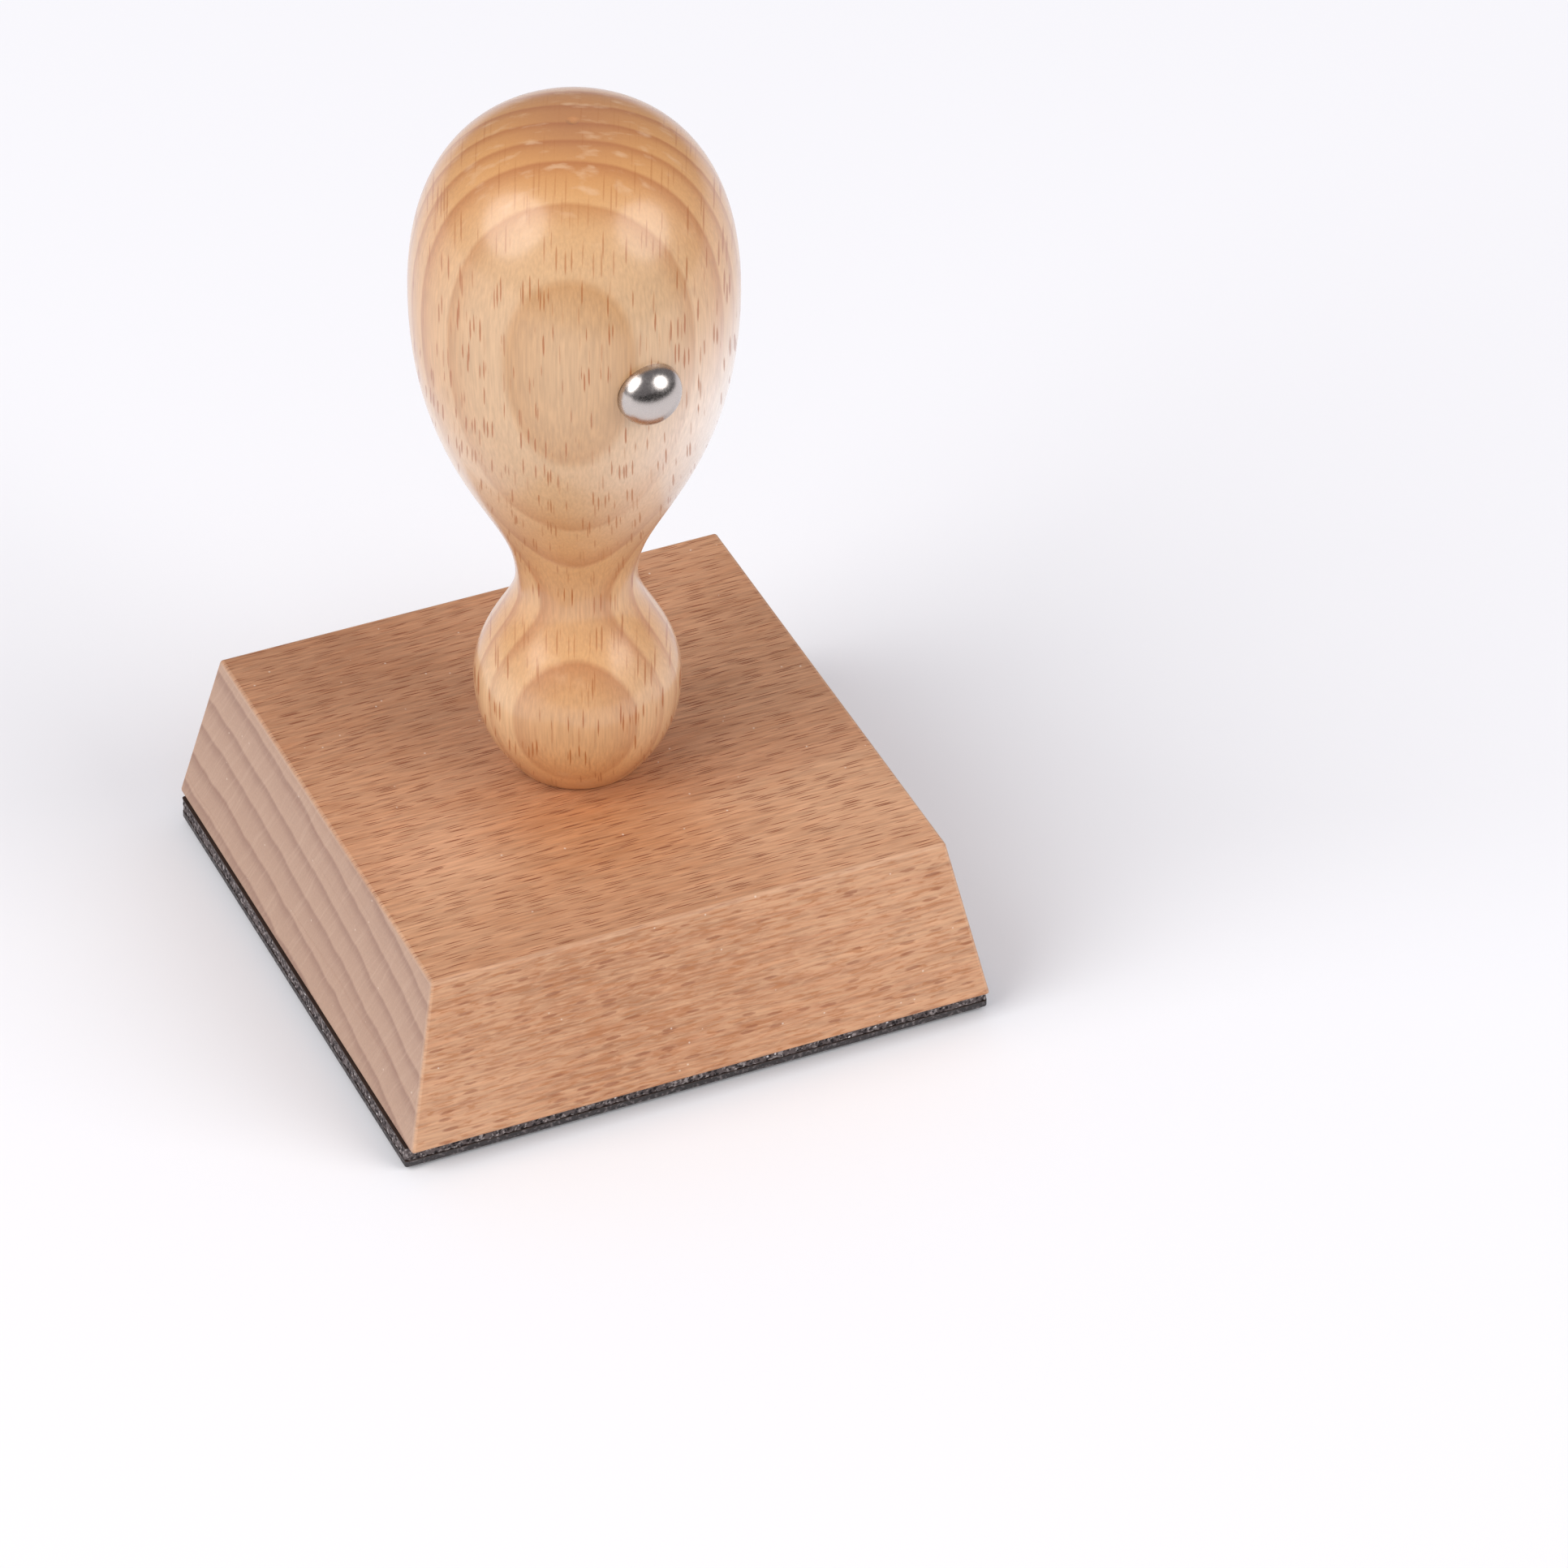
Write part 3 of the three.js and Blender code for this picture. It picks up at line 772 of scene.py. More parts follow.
# %% Plated metal
def plated(name, colour, roughness, mark_length, mark_width):
    """Plated metal with fine marks. The marks' sizes are in mm."""
    made, tree, shader = start_material(name)
    coordinates = add(tree, "TexCoord")
    sizes = [1 / (mark_width * MM), 1 / (mark_length * MM), 1 / (mark_width * MM)]
    placed = add(tree, "Mapping", {"Vector": coordinates.outputs["Object"], "Scale": sizes})
    marks = add(tree, "TexNoise", {"Vector": placed.outputs[0], "Scale": 1.0, "Detail": 4.0})
    low, high = roughness
    rough = add(
        tree, "MapRange",
        {"Value": marks.outputs["Fac"], "From Min": 0.35, "From Max": 0.7, "To Min": low, "To Max": high},
    )
    tree.links.new(rough.outputs[0], shader.inputs["Roughness"])
    shade = add(tree, "MapRange", {"Value": marks.outputs["Fac"], "To Min": 0.88, "To Max": 1.06})
    tint = layered(tree, colour, [(1.0, shade.outputs[0], "MULTIPLY")])
    tree.links.new(tint, shader.inputs["Base Color"])
    shader.inputs["Metallic"].default_value = 1.0
    bump = add(tree, "Bump", {"Height": marks.outputs["Fac"], "Distance": 0.004 * MM, "Strength": 0.2})
    tree.links.new(bump.outputs[0], shader.inputs["Normal"])
    return made


# Nickel is bright and a little warm, and mirrors the studio softly. Zinc is greyer and duller.
nickel_plate = plated("nickel_plate", "#cdc5c0", (0.22, 0.29), mark_length=0.5, mark_width=0.25)
zinc_plate = plated("zinc_plated_steel", "#b9bab8", (0.28, 0.45), mark_length=0.8, mark_width=0.3)
print("platings:", nickel_plate.name, "and", zinc_plate.name)

# %% [markdown]
# ## Adhesive film
#
# The layers are stuck together with brown acrylic film. Only its cut edge shows, as a thin dark line that
# is partly painted shade under the wood, so blotches in its colour and a faint bump are enough.

# %% Adhesive film
BLOTCH_MM = 1.5

# The film is painted nearly black: its own dark brown, with painted shade under the wood's edge on top.
# It is half glossy, and its blotches keep the line under the wood from looking drawn.
adhesive_film, tree, shader = start_material("brown_acrylic_adhesive_film")
coordinates = add(tree, "TexCoord")
blotches = add(
    tree, "TexNoise",
    {"Vector": coordinates.outputs["Object"], "Scale": 1 / (BLOTCH_MM * MM), "Detail": 3.0},
)
colour = layered(tree, "#1f1511", [(blotches.outputs["Fac"], "#38251c", "MIX")])
tree.links.new(colour, shader.inputs["Base Color"])
shader.inputs["Roughness"].default_value = 0.45
bump = add(tree, "Bump", {"Height": blotches.outputs["Fac"], "Distance": 0.02 * MM, "Strength": 0.5})
tree.links.new(bump.outputs[0], shader.inputs["Normal"])
print("film:", adhesive_film.name)

# %% [markdown]
# ## Charcoal sponge
#
# The sponge is foamed in a block and cut into sheet with a knife, which tears its cells open. A cell
# pattern could be only a bump, but the cells show at the outline too, so the same size is used later to
# push the real mesh in. Here the cells get dark floors, which are painted shade in the pits, paler walls,
# light grit and a few bright specks.

# %% Charcoal sponge
CELL_MM = 0.45
GRIT_MM = 0.42
SPECK_MM = 1.3

# Torn cells scatter the light, so the sponge is very rough and looks like a dark, grainy crumb.

charcoal_sponge, tree, shader = start_material("charcoal_eva_sponge")
coordinates = add(tree, "TexCoord")
cells = add(tree, "TexVoronoi", {"Vector": coordinates.outputs["Object"], "Scale": 1 / (CELL_MM * MM)})
grit = add(
    tree, "TexNoise",
    {"Vector": coordinates.outputs["Object"], "Scale": 1 / (GRIT_MM * MM), "Detail": 3.0},
)
wall = add(tree, "MapRange", {"Value": cells.outputs["Distance"], "From Min": 0.25, "From Max": 0.65})
light_grit = add(tree, "MapRange", {"Value": grit.outputs["Fac"], "From Min": 0.54, "From Max": 0.66})
specks = add(
    tree, "TexVoronoi", {"Vector": coordinates.outputs["Object"], "Scale": 1 / (SPECK_MM * MM)},
)
speck = add(tree, "MapRange", {"Value": specks.outputs["Distance"], "From Min": 0.12, "From Max": 0.07})
# The dark base is the cell floors: painted shade in the pits. The walls are paler.
colour = layered(tree, "#221d1f", [
    (wall.outputs[0], "#615857", "MIX"),
    (light_grit.outputs[0], "#a09896", "MIX"),
    (speck.outputs[0], "#dcd8d6", "MIX"),
])
tree.links.new(colour, shader.inputs["Base Color"])
shader.inputs["Roughness"].default_value = 0.9
shader.inputs["Specular IOR Level"].default_value = 0.3
bump = add(tree, "Bump", {"Height": wall.outputs[0], "Distance": 0.08 * MM, "Strength": 0.8})
tree.links.new(bump.outputs[0], shader.inputs["Normal"])
print("sponge cells:", CELL_MM, "mm")

# %% [markdown]
# ## Rubber
#
# The die is pressed in a mould and vulcanised, then trimmed with a blade. The mould leaves a fine skin
# that the finest noise draws, the blade leaves pale grit on the edge, and age gives rubber a dull bloom.

# %% Rubber
BLOOM_MM = 2.5
SKIN_MM = 0.2

# Rubber is nearly black, and its bloom lifts it to a soft, uneven dark grey with no clear highlight.
black_rubber, tree, shader = start_material("vulcanised_rubber")
coordinates = add(tree, "TexCoord")
bloom = add(
    tree, "TexNoise",
    {"Vector": coordinates.outputs["Object"], "Scale": 1 / (BLOOM_MM * MM), "Detail": 5.0},
)
grit = add(
    tree, "TexNoise",
    {"Vector": coordinates.outputs["Object"], "Scale": 1 / (GRIT_MM * MM), "Detail": 3.0},
)
cut_grit = add(
    tree, "MapRange", {"Value": grit.outputs["Fac"], "From Min": 0.52, "From Max": 0.68, "To Max": 0.7},
)
colour = layered(tree, "#1d1a1b", [
    (bloom.outputs["Fac"], "#443f40", "MIX"),
    (cut_grit.outputs[0], "#847c7b", "MIX"),
])
tree.links.new(colour, shader.inputs["Base Color"])
rough = add(tree, "MapRange", {"Value": bloom.outputs["Fac"], "To Min": 0.5, "To Max": 0.75})
tree.links.new(rough.outputs[0], shader.inputs["Roughness"])
skin = add(
    tree, "TexNoise",
    {"Vector": coordinates.outputs["Object"], "Scale": 1 / (SKIN_MM * MM), "Detail": 2.0},
)
bump = add(tree, "Bump", {"Height": skin.outputs["Fac"], "Distance": 0.02 * MM, "Strength": 0.4})
tree.links.new(bump.outputs[0], shader.inputs["Normal"])
print("materials:", sorted(m.name for m in bpy.data.materials))

# %% [markdown]
# ## Turning a profile
#
# Most of this stamp is round: the handle, the stud, the nail, the screw, the holes and the rings of the
# die. A cylinder with many loops could be scaled into each shape, but a turner works from an outline, and
# so does this helper. It draws the outline as a curve, makes it a mesh and spins it round the Z axis. A
# spin leaves doubled points at its seam and on the axis, so they are merged, and then every face is
# turned outwards.

# %% Turning a profile
MERGE_MM = 0.002


def turned(name, knots, steps, resolution=16, closed=False):
    """Spins an outline round the Z axis. A knot is (radius, height) in mm, or three such pairs: the
    handle before it, the knot itself and the handle after it, where the outline curves."""
    bpy.ops.object.select_all(action="DESELECT")
    bpy.ops.curve.primitive_bezier_curve_add()
    piece = bpy.context.object
    piece.name = name
    piece.data.resolution_u = resolution
    outline = piece.data.splines[0]
    outline.bezier_points.add(len(knots) - 2)
    outline.use_cyclic_u = closed
    for point, knot in zip(outline.bezier_points, knots):
        curved = len(knot) == 3
        before, middle, after = knot if curved else (knot, knot, knot)
        point.co = (middle[0] * MM, 0, middle[1] * MM)
        point.handle_left_type = "FREE" if curved else "VECTOR"
        point.handle_right_type = "FREE" if curved else "VECTOR"
        if curved:
            point.handle_left = (before[0] * MM, 0, before[1] * MM)
            point.handle_right = (after[0] * MM, 0, after[1] * MM)
    bpy.ops.object.convert(target="MESH")
    piece = bpy.context.object
    pick(piece, "VERT", lambda vertex: True)
    bpy.ops.mesh.spin(steps=steps, angle=2 * math.pi, center=(0, 0, 0), axis=(0, 0, 1))
    bpy.ops.mesh.select_all(action="SELECT")
    bpy.ops.mesh.remove_doubles(threshold=MERGE_MM * MM)
    bpy.ops.mesh.normals_make_consistent(inside=False)
    close_edit()
    return piece


def place(piece, upward):
    """Moves a turned piece up by so many mm and settles it."""
    piece.location.z = upward * MM
    settle(piece)
    return piece


print("points closer than", MERGE_MM, "mm are merged")

# %% [markdown]
# ## The mount block
#
# The mount is a square of beech with all four sides sawn at a lean. A cube is the start: its top is
# drawn in to make the lean. The arrises, which is the joiner's word for such edges, are broken with
# sandpaper, so they get a narrow round bevel. The bevel's faces take the paler, worn wood. Last comes
# the hole for the screw, with its countersink, cut with a turned shape.

# %% The block and its arrises
MOUNT_TOP_X = 55.9  # mm, as are the next two
MOUNT_TOP_Y = 57.7
ARRIS_MM = 0.35

mount_size = mount_high - mount_low
bpy.ops.mesh.primitive_cube_add(size=1, location=(mount_low + mount_high) / 2, scale=mount_size)
mount = bpy.context.object
mount.name = "beech_mount"
settle(mount)
pick(mount, "FACE", lambda face: face.normal.z > 0.9)
narrower = (MOUNT_TOP_X * MM / mount_size.x, MOUNT_TOP_Y * MM / mount_size.y, 1)
bpy.ops.transform.resize(value=narrower)
close_edit()
pick(mount, "EDGE", lambda edge: True)
bpy.ops.mesh.bevel(offset=ARRIS_MM * MM, segments=3, affect="EDGES")
close_edit()
print("mount, in mm:", [round(side / MM, 2) for side in mount_size])

# %% The hole for the screw
SCREW_CLEARANCE = 2.3  # mm: the hole's radius
COUNTERSINK_MOUTH = 4.5  # mm: the countersink's radius at the foot

mount_foot = mount_low.z / MM
mount_top = mount_high.z / MM
countersink = turned(
    "countersink",
    [
        (0, -1), (COUNTERSINK_MOUTH + 1, -1), (SCREW_CLEARANCE, COUNTERSINK_MOUTH - SCREW_CLEARANCE),
        (SCREW_CLEARANCE, mount_top), (0, mount_top),
    ],
    steps=48,
)
place(countersink, mount_foot)
cut(mount, countersink)
print("mount with its hole:", triangles(mount), "triangles")

# %% The worn arrises
def on_arris(face):
    """Whether a face is part of a broken edge: it faces neither up, down nor square to a side."""
    flat = face.normal.z > 0.999 or face.normal.z < -0.999
    lean = max(abs(face.normal.x), abs(face.normal.y))
    near_hole = math.hypot(face.center.x, face.center.y) < 8 * MM
    return not (flat or lean > 0.975 or near_hole)


mount.data.materials.append(sanded_beech)
mount.data.materials.append(worn_beech)
for face in mount.data.polygons:
    face.material_index = 1 if on_arris(face) else 0
smooth(mount, 40)
apply_modifier(mount, "WEIGHTED_NORMAL", mode="FACE_AREA", keep_sharp=True)
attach(mount, "mount")
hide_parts("mount_block")
print("worn faces:", sum(face.material_index for face in mount.data.polygons))

# %% [markdown]
# ## The turned handle
#
# The handle is one outline spun round its axis: foot, ball, neck, bulb and crown. Four curves do it,
# and they meet where the wood stands upright, so the shape has no kink. The crown keeps the small dent
# of the lathe centre. The bore for the screw is part of the same outline. The hole for the stud's nail,
# and the shallow seat that its cap is driven into, are cut from the side.

# %% The handle's outline
FOOT = (6.7, 0)  # radius and height, in mm, as are the next three
BALL = (10.55, 10.2)
NECK = (6.15, 22.8)
BULB = (16.35, 57.1)
CROWN = 76.8  # mm
BORE_DEPTH = 16.3  # mm

handle = turned(
    "beech_handle",
    [
        (0, BORE_DEPTH + 0.8),
        (SCREW_CLEARANCE, BORE_DEPTH),
        (SCREW_CLEARANCE, 0),
        (FOOT[0] - 0.3, FOOT[1]),
        ((6.55, 0.02), (FOOT[0] + 0.1, 0.25), (8.55, 2.7)),
        ((BALL[0], 5.1), BALL, (BALL[0], 15.8)),
        ((NECK[0], 18.6), NECK, (NECK[0], 31.4)),
        ((BULB[0], 36.9), BULB, (BULB[0], 71.0)),
        ((10.1, CROWN), (0.75, CROWN - 0.02), (0.5, CROWN - 0.02)),
        ((0.35, CROWN - 0.25), (0, CROWN - 0.28), (0, CROWN - 0.28)),
    ],
    steps=144,
    resolution=26,
)
place(handle, mount_top)
print("handle:", round(2 * BULB[0], 1), "mm across and", CROWN, "mm tall")

# %% The stud's seat
STUD_HEIGHT = 54.9  # mm above the mount
STUD_TURN = math.radians(3.5)
STUD_RADIUS = 3.3  # mm, as are the next three
STUD_SEAT = 16.4
PIN_HOLE = 0.95
SEAT_DEPTH = 0.5


def lay_on_stud_axis(piece, outward=0):
    """Lays a piece that was turned about +Z on the stud's axis, which points out of the handle's front.
    outward is how far the piece is first moved along that axis, in mm."""
    for vertex in piece.data.vertices:
        vertex.co.z += outward * MM
    piece.matrix_world = (
        Matrix.Translation((0, 0, mount_high.z + STUD_HEIGHT * MM))
        @ Matrix.Rotation(STUD_TURN, 4, "Z")
        @ Matrix.Rotation(math.pi / 2, 4, "X")
    )
    settle(piece)
    return piece


stud_hole = turned(
    "stud_hole",
    [
        (0, 5.0), (PIN_HOLE, 5.6), (PIN_HOLE, STUD_SEAT - SEAT_DEPTH),
        (STUD_RADIUS, STUD_SEAT - SEAT_DEPTH), (STUD_RADIUS, STUD_SEAT + 2), (0, STUD_SEAT + 2),
    ],
    steps=64,
)
cut(handle, lay_on_stud_axis(stud_hole))
handle.data.materials.clear()
handle.data.materials.append(lacquered_beech)
smooth(handle, 35)
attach(handle, "mount")
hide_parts("turned_handle")
print("handle:", triangles(handle), "triangles")

# %% [markdown]
# ## The marker stud
#
# The stud is a cap pressed from thin sheet over the head of a short nail. Its outline is a quarter
# ellipse outside, another inside, and a rim rolled round between them. The rim is driven a little
# way into the wood. The nail is turned too: a disc, a shank and a blunt point.

# %% The stud's cap
STUD_DEPTH = 2.45  # mm, as are the next two
STUD_WALL = 0.35
RIM = -0.46
ROUND = 0.5523  # how long a quarter circle's handles are, as a share of its radius

outer_r, outer_h = STUD_RADIUS, STUD_DEPTH
inner_r, inner_h = STUD_RADIUS - STUD_WALL, STUD_DEPTH - STUD_WALL
cap = turned(
    "nickel_stud_cap",
    [
        ((0.0, inner_h), (0.0, inner_h), (inner_r * ROUND, inner_h)),
        ((inner_r, inner_h * ROUND), (inner_r, 0), (inner_r, RIM * 0.5)),
        ((inner_r, RIM * 0.9), (inner_r + STUD_WALL / 2, RIM), (inner_r + STUD_WALL * 0.9, RIM)),
        ((outer_r, RIM * 0.6), (outer_r, 0), (outer_r, outer_h * ROUND)),
        ((outer_r * ROUND, outer_h), (0.0, outer_h), (0.0, outer_h)),
    ],
    steps=96,
    resolution=20,
)
lay_on_stud_axis(cap, outward=STUD_SEAT)
cap.data.materials.append(nickel_plate)
smooth(cap, 60)
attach(cap, "mount")
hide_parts("marker_stud_cap")
print("cap:", triangles(cap), "triangles")

# %% The stud's nail
PIN_LENGTH = 11  # mm, as are the next two
PIN_RADIUS = 0.75
PIN_DISC = 2.45

pin = turned(
    "stud_pin",
    [
        (0, -PIN_LENGTH), (PIN_RADIUS * 0.3, 0.3 - PIN_LENGTH), (PIN_RADIUS, 2 - PIN_LENGTH),
        (PIN_RADIUS, -0.1), (PIN_RADIUS + 0.1, 0), (PIN_DISC - 0.1, 0), (PIN_DISC, 0.1),
        (PIN_DISC, 0.4), (PIN_DISC - 0.1, 0.5), (0, 0.5),
    ],
    steps=48,
)
lay_on_stud_axis(pin, outward=STUD_SEAT)
pin.data.materials.append(zinc_plate)
smooth(pin, 35)
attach(pin, "mount")
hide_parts("marker_stud_pin")
print("nail:", triangles(pin), "triangles")

# %% [markdown]
# ## The wood screw
#
# The screw can't be seen once the stamp is put together, but it holds the handle on the block. Its head
# is a countersunk cone and its shank is plain up to the thread. The thread is made by winding: the
# turned blank has many fine rows, and each point moves out by how near it lies to the helix.

# %% The screw's turned blank
SCREW_LENGTH = 34  # mm, as are the next six
SCREW_HEAD = 3.8
SCREW_SHANK = 1.45
SCREW_ROOT = 1.3
SCREW_PITCH = 1.8
SCREW_PLAIN = 11
SCREW_TIP = 4
THREAD_ROWS_PER_TURN = 12

row = SCREW_PITCH / THREAD_ROWS_PER_TURN
outline = [
    (0, 0), (SCREW_HEAD - 0.08, 0), (SCREW_HEAD, 0.08), (SCREW_HEAD, 0.25),
    (SCREW_SHANK, SCREW_HEAD - SCREW_SHANK + 0.25), (SCREW_SHANK, SCREW_PLAIN),
]
for i in range(1, round((SCREW_LENGTH - SCREW_PLAIN) / row)):
    height = SCREW_PLAIN + i * row
    outline.append((SCREW_ROOT * min(1, (SCREW_LENGTH - height) / SCREW_TIP), height))
outline.append((0, SCREW_LENGTH))
screw = turned("wood_screw", outline, steps=40)
print("rows in the blank:", len(outline))

# %% The screw's thread
SCREW_CREST = 2.0  # mm
RIDGE_SHARPNESS = 1.6

for vertex in screw.data.vertices:
    x, y, z = vertex.co / MM
    radius = math.hypot(x, y)
    if z > SCREW_PLAIN + row / 2 and radius > 0.01:
        turns = z / SCREW_PITCH - math.atan2(y, x) / (2 * math.pi)
        off_crest = abs(turns % 1 - 0.5) * 2
        ridge = max(0, 1 - off_crest * RIDGE_SHARPNESS)
        run_in = min(1, (z - SCREW_PLAIN) / SCREW_PITCH)
        run_out = min(1, (SCREW_LENGTH - z) / SCREW_TIP)
        wider = 1 + (SCREW_CREST - SCREW_ROOT) * ridge * run_in * run_out / radius
        vertex.co.x *= wider
        vertex.co.y *= wider
print("turns of thread:", round((SCREW_LENGTH - SCREW_PLAIN) / SCREW_PITCH, 1))

# %% The screw's recess
RECESS_LENGTH = 4.2  # mm, as are the next two
RECESS_WIDTH = 0.9
RECESS_DEPTH = 1.8

for length, width in ((RECESS_LENGTH, RECESS_WIDTH), (RECESS_WIDTH, RECESS_LENGTH)):
    bpy.ops.object.select_all(action="DESELECT")
    bpy.ops.mesh.primitive_cube_add(size=2 * MM, scale=(length / 2, width / 2, RECESS_DEPTH))
    wing = bpy.context.object
    settle(wing)
    pick(wing, "FACE", lambda face: face.normal.z > 0.9)
    bpy.ops.transform.resize(value=(0.7, 0.7, 1))
    close_edit()
    cut(screw, wing)
place(screw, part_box("handle_screw")[0].z / MM)
screw.data.materials.clear()
screw.data.materials.append(zinc_plate)
smooth(screw, 35)
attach(screw, "mount")
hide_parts("handle_screw")
print("screw:", triangles(screw), "triangles")

# %% [markdown]
# ## The sponge cushion
#
# The cushion is cut from sheet with a knife, so its sides show the foam's torn cells. A plain sheet is
# the start, with its corners eased. Its sides are then divided as finely as the cells need, and a
# cell pattern pushes the sides in, never out, so that the sheet keeps its size. The sponge rides on the
# die's body, with a mesh of its own.

# %% Cutting a sheet
SHEET_CORNER_MM = 0.3


def upright(edge):
    """Whether an edge stands up."""
    first, second = (vertex.co for vertex in edge.verts)
    return abs(first.z - second.z) > 0.9 * (first - second).length


def cut_sheet(name, node):
    """A flat sheet in a node's place, with its upright corners rounded."""
    low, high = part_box(node)
    bpy.ops.object.select_all(action="DESELECT")
    bpy.ops.mesh.primitive_cube_add(size=1, location=(low + high) / 2, scale=high - low)
    sheet = bpy.context.object
    sheet.name = name
    settle(sheet)
    pick(sheet, "EDGE", upright)
    bpy.ops.mesh.bevel(offset=SHEET_CORNER_MM * MM, segments=4, affect="EDGES")
    close_edit()
    return sheet


print("sheet corners:", SHEET_CORNER_MM, "mm")

# %% The cushion and its torn cells
CELL_PIT_MM = 0.16  # how deep a cell goes

sponge = cut_sheet("sponge_cushion", "foam_cushion")
for cuts in (20, 17):
    pick(sponge, "EDGE", lambda edge: edge.calc_length() > 2 * MM and not upright(edge))
    bpy.ops.mesh.subdivide(number_cuts=cuts)
    close_edit()
pick(sponge, "EDGE", upright)
bpy.ops.mesh.subdivide(number_cuts=9)
close_edit()
cell_pattern = bpy.data.textures.new("sponge_cells", "VORONOI")
cell_pattern.noise_scale = CELL_MM * MM
apply_modifier(
    sponge, "DISPLACE", texture=cell_pattern, texture_coords="LOCAL", direction="NORMAL",
    mid_level=1.0, strength=CELL_PIT_MM * MM,
)
sponge.data.materials.append(charcoal_sponge)
print("sponge:", triangles(sponge), "triangles")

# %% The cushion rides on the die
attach(sponge, "die")
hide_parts("foam_cushion")
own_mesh(sponge)

# %% [markdown]
# ## The printing die
#
# A die is a sheet of rubber whose design stands up from its floor, with sloping shoulders that hold
# each line steady. The design here is a plain rosette: two rings, a ring of beads, eight petals and a
# boss. The rings and the boss are turned. One bead and one petal are modelled and copied round. Then
# everything is joined to the floor as one moulding.

# %% The die's floor
RELIEF_DEPTH = 0.5  # mm, as is the next
FLOOR_EDGE_MM = 0.12

die = cut_sheet("printing_die", "rubber_die")
die_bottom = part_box("rubber_die")[0].z
for vertex in die.data.vertices:
    if vertex.co.z < die_bottom + RELIEF_DEPTH / 2 * MM:
        vertex.co.z += RELIEF_DEPTH * MM
pick(die, "FACE", lambda face: face.normal.z < -0.9)
bpy.ops.mesh.region_to_loop()
bpy.ops.mesh.bevel(offset=FLOOR_EDGE_MM * MM, segments=2, affect="EDGES")
close_edit()
print("floor:", triangles(die), "triangles")

# %% Rings and boss
RELIEF_ROOT = 0.65  # mm: the design's height with the part that goes into the floor
SHOULDER = 0.22  # mm: how far a line widens towards its root
RINGS = [(27.5, 1.3), (24.9, 0.7)]  # outer radius and width, in mm
BOSS_RADIUS = 4.2  # mm

relief = []
for radius, width in RINGS:
    ring = turned(
        "die_ring",
        [
            (radius, 0), (radius + SHOULDER, RELIEF_ROOT), (radius - width - SHOULDER, RELIEF_ROOT),
            (radius - width, 0),
        ],
        steps=128, closed=True,
    )
    relief.append(ring)
boss = turned(
    "die_boss",
    [(0, 0), (BOSS_RADIUS, 0), (BOSS_RADIUS + SHOULDER, RELIEF_ROOT), (0, RELIEF_ROOT)],
    steps=64,
)
relief.append(boss)
print("rings and boss:", len(relief), "pieces")

# %% Beads
BEADS = 24
BEAD_RADIUS = 0.9  # mm, as is the next
BEAD_CIRCLE = 21.6


def around(piece, count):
    """The piece and its copies, spaced evenly round the Z axis. Each copy has its own mesh."""
    pieces = [piece]
    for i in range(1, count):
        copy = piece.copy()
        copy.data = piece.data.copy()
        bpy.context.scene.collection.objects.link(copy)
        copy.rotation_euler.z = i * 2 * math.pi / count
        pieces.append(copy)
    return pieces


bead = turned(
    "die_bead",
    [(0, 0), (BEAD_RADIUS, 0), (BEAD_RADIUS + SHOULDER, RELIEF_ROOT), (0, RELIEF_ROOT)],
    steps=24,
)
for vertex in bead.data.vertices:
    vertex.co.x += BEAD_CIRCLE * MM
relief += around(bead, BEADS)
print("with the beads:", len(relief), "pieces")

# %% Petals
PETALS = 8
PETAL_START = 6.2  # mm, as are the next two
PETAL_END = 18.6
PETAL_HALF_WIDTH = 3.0
REACH = 2 / 3  # how far a cubic handle goes towards an arc's control point

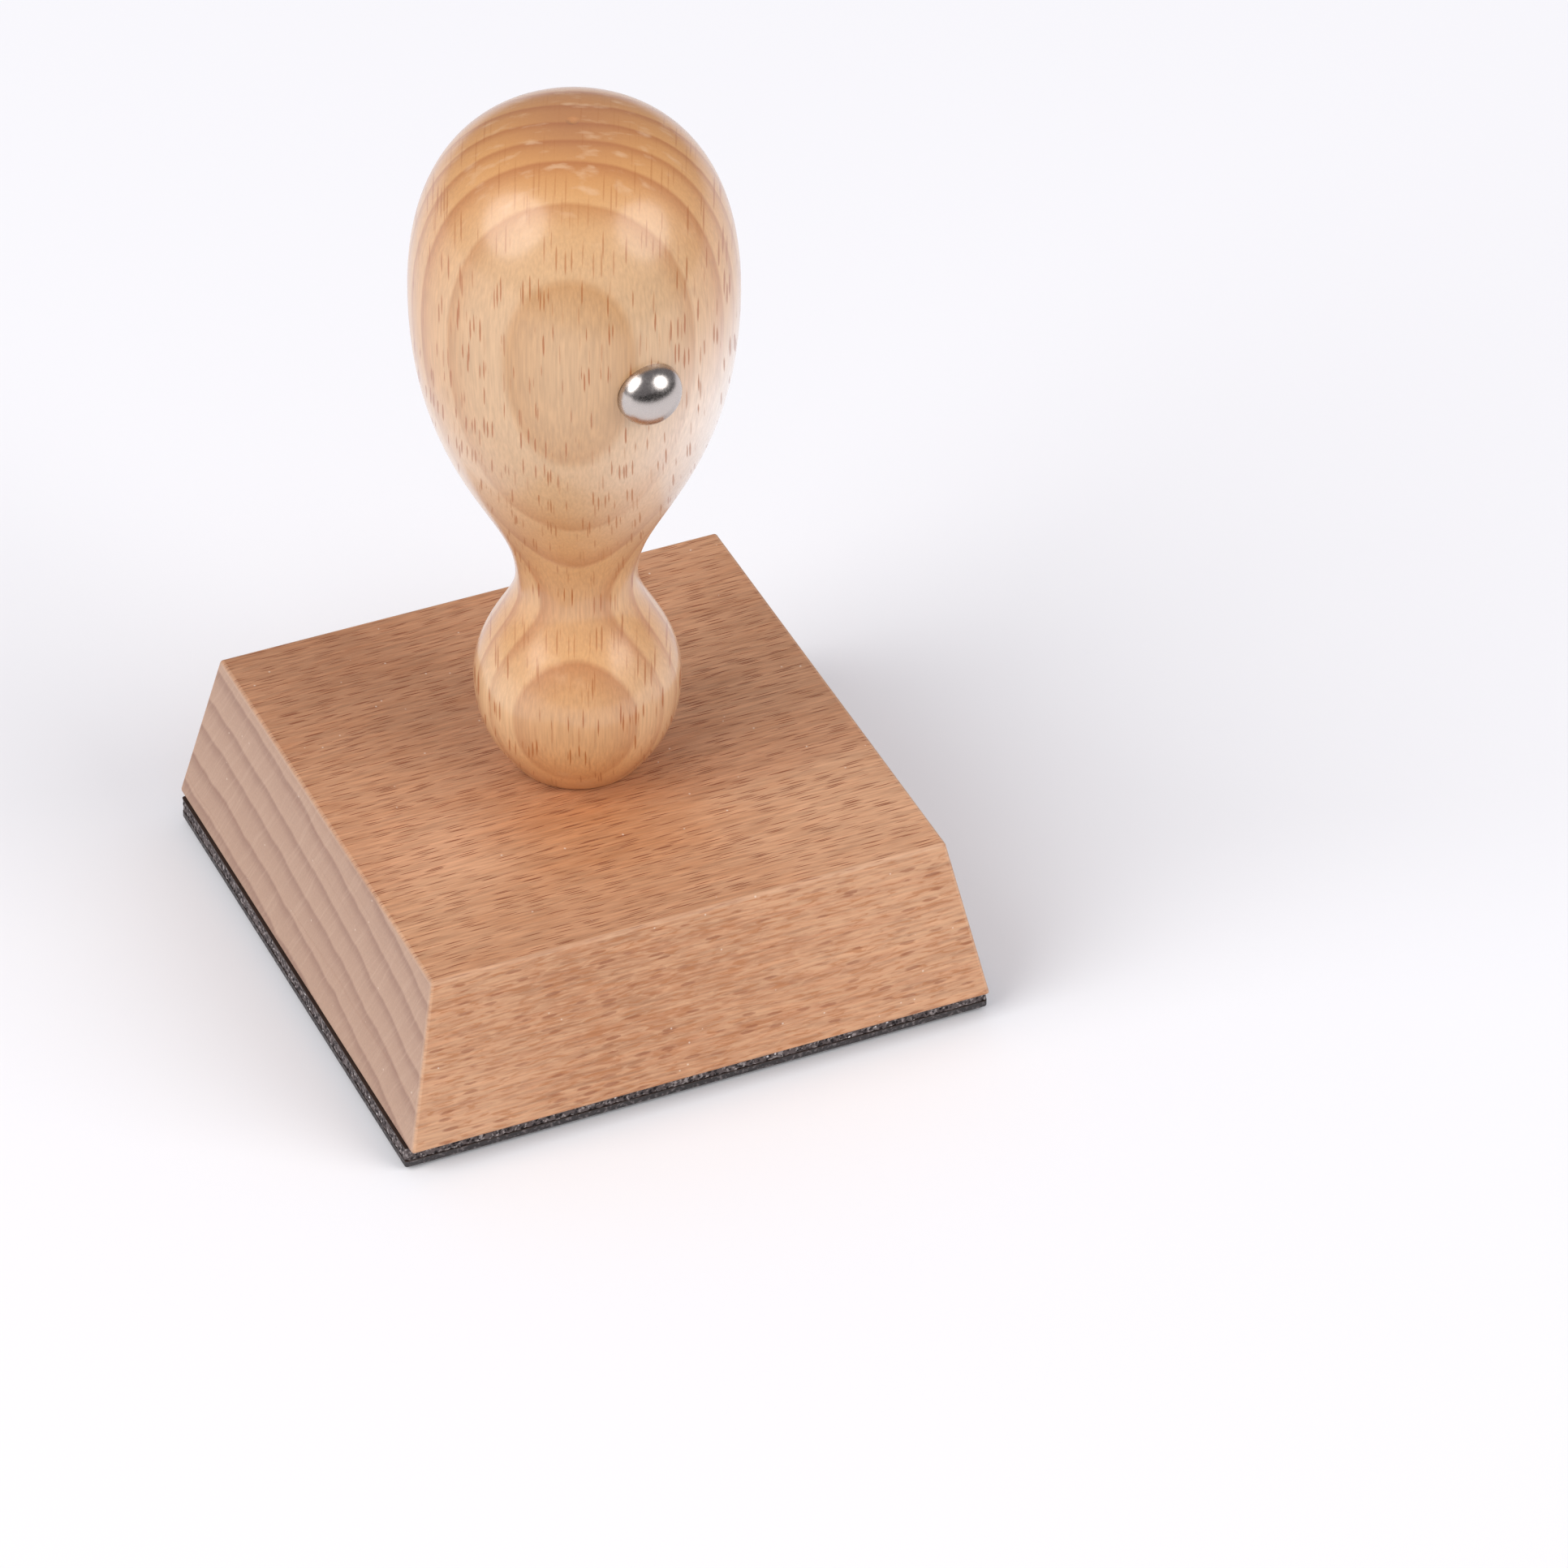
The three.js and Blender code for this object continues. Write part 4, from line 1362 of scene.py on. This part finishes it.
# A petal's outline is two arcs that meet in a point at each end.
bpy.ops.object.select_all(action="DESELECT")
bpy.ops.curve.primitive_bezier_curve_add()
petal = bpy.context.object
petal.name = "die_petal"
petal.data.dimensions = "2D"
petal.data.fill_mode = "BOTH"
petal.data.resolution_u = 14
arcs = petal.data.splines[0]
arcs.use_cyclic_u = True
middle = (PETAL_START + PETAL_END) / 2
for point, end in zip(arcs.bezier_points, (PETAL_START, PETAL_END)):
    point.co = (end * MM, 0, 0)
    point.handle_left_type = "FREE"
    point.handle_right_type = "FREE"
    side = 1 if end == PETAL_START else -1
    handle_x = end + (middle - end) * REACH
    handle_y = 2 * PETAL_HALF_WIDTH * REACH * side
    point.handle_right = (handle_x * MM, handle_y * MM, 0)
    point.handle_left = (handle_x * MM, -handle_y * MM, 0)
bpy.ops.object.convert(target="MESH")
petal = bpy.context.object
pick(petal, "FACE", lambda face: True)
bpy.ops.mesh.remove_doubles(threshold=0.01 * MM)
bpy.ops.mesh.select_all(action="SELECT")
bpy.ops.mesh.extrude_region_move(TRANSFORM_OT_translate={"value": (0, 0, RELIEF_ROOT * MM)})
bpy.ops.transform.resize(value=(1 + SHOULDER / 6, 1 + SHOULDER / PETAL_HALF_WIDTH, 1))
bpy.ops.mesh.select_all(action="SELECT")
bpy.ops.mesh.normals_make_consistent(inside=False)
close_edit()
relief += around(petal, PETALS)
print("with the petals:", len(relief), "pieces")

# %% One moulding
bpy.ops.object.select_all(action="DESELECT")
for piece in relief:
    piece.select_set(True)
bpy.context.view_layer.objects.active = relief[0]
bpy.ops.object.transform_apply(location=True, rotation=True, scale=True)
bpy.ops.object.join()
cut(die, relief[0], operation="UNION")
die.data.materials.clear()
die.data.materials.append(black_rubber)
smooth(die, 30)
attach(die, "die")
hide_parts("rubber_die")
print("die:", triangles(die), "triangles")

# %% [markdown]
# ## The adhesive films
#
# Two films of brown tape hold the layers together. They are flat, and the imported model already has
# their right shape, so they stay as they are and only take their material.

# %% The adhesive films
for name in ("mount_adhesive", "die_adhesive"):
    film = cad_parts[name]
    film.data.materials.clear()
    film.data.materials.append(adhesive_film)
    film_low, film_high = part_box(name)
    print(name, "is", round((film_high.z - film_low.z) / MM, 2), "mm thick")
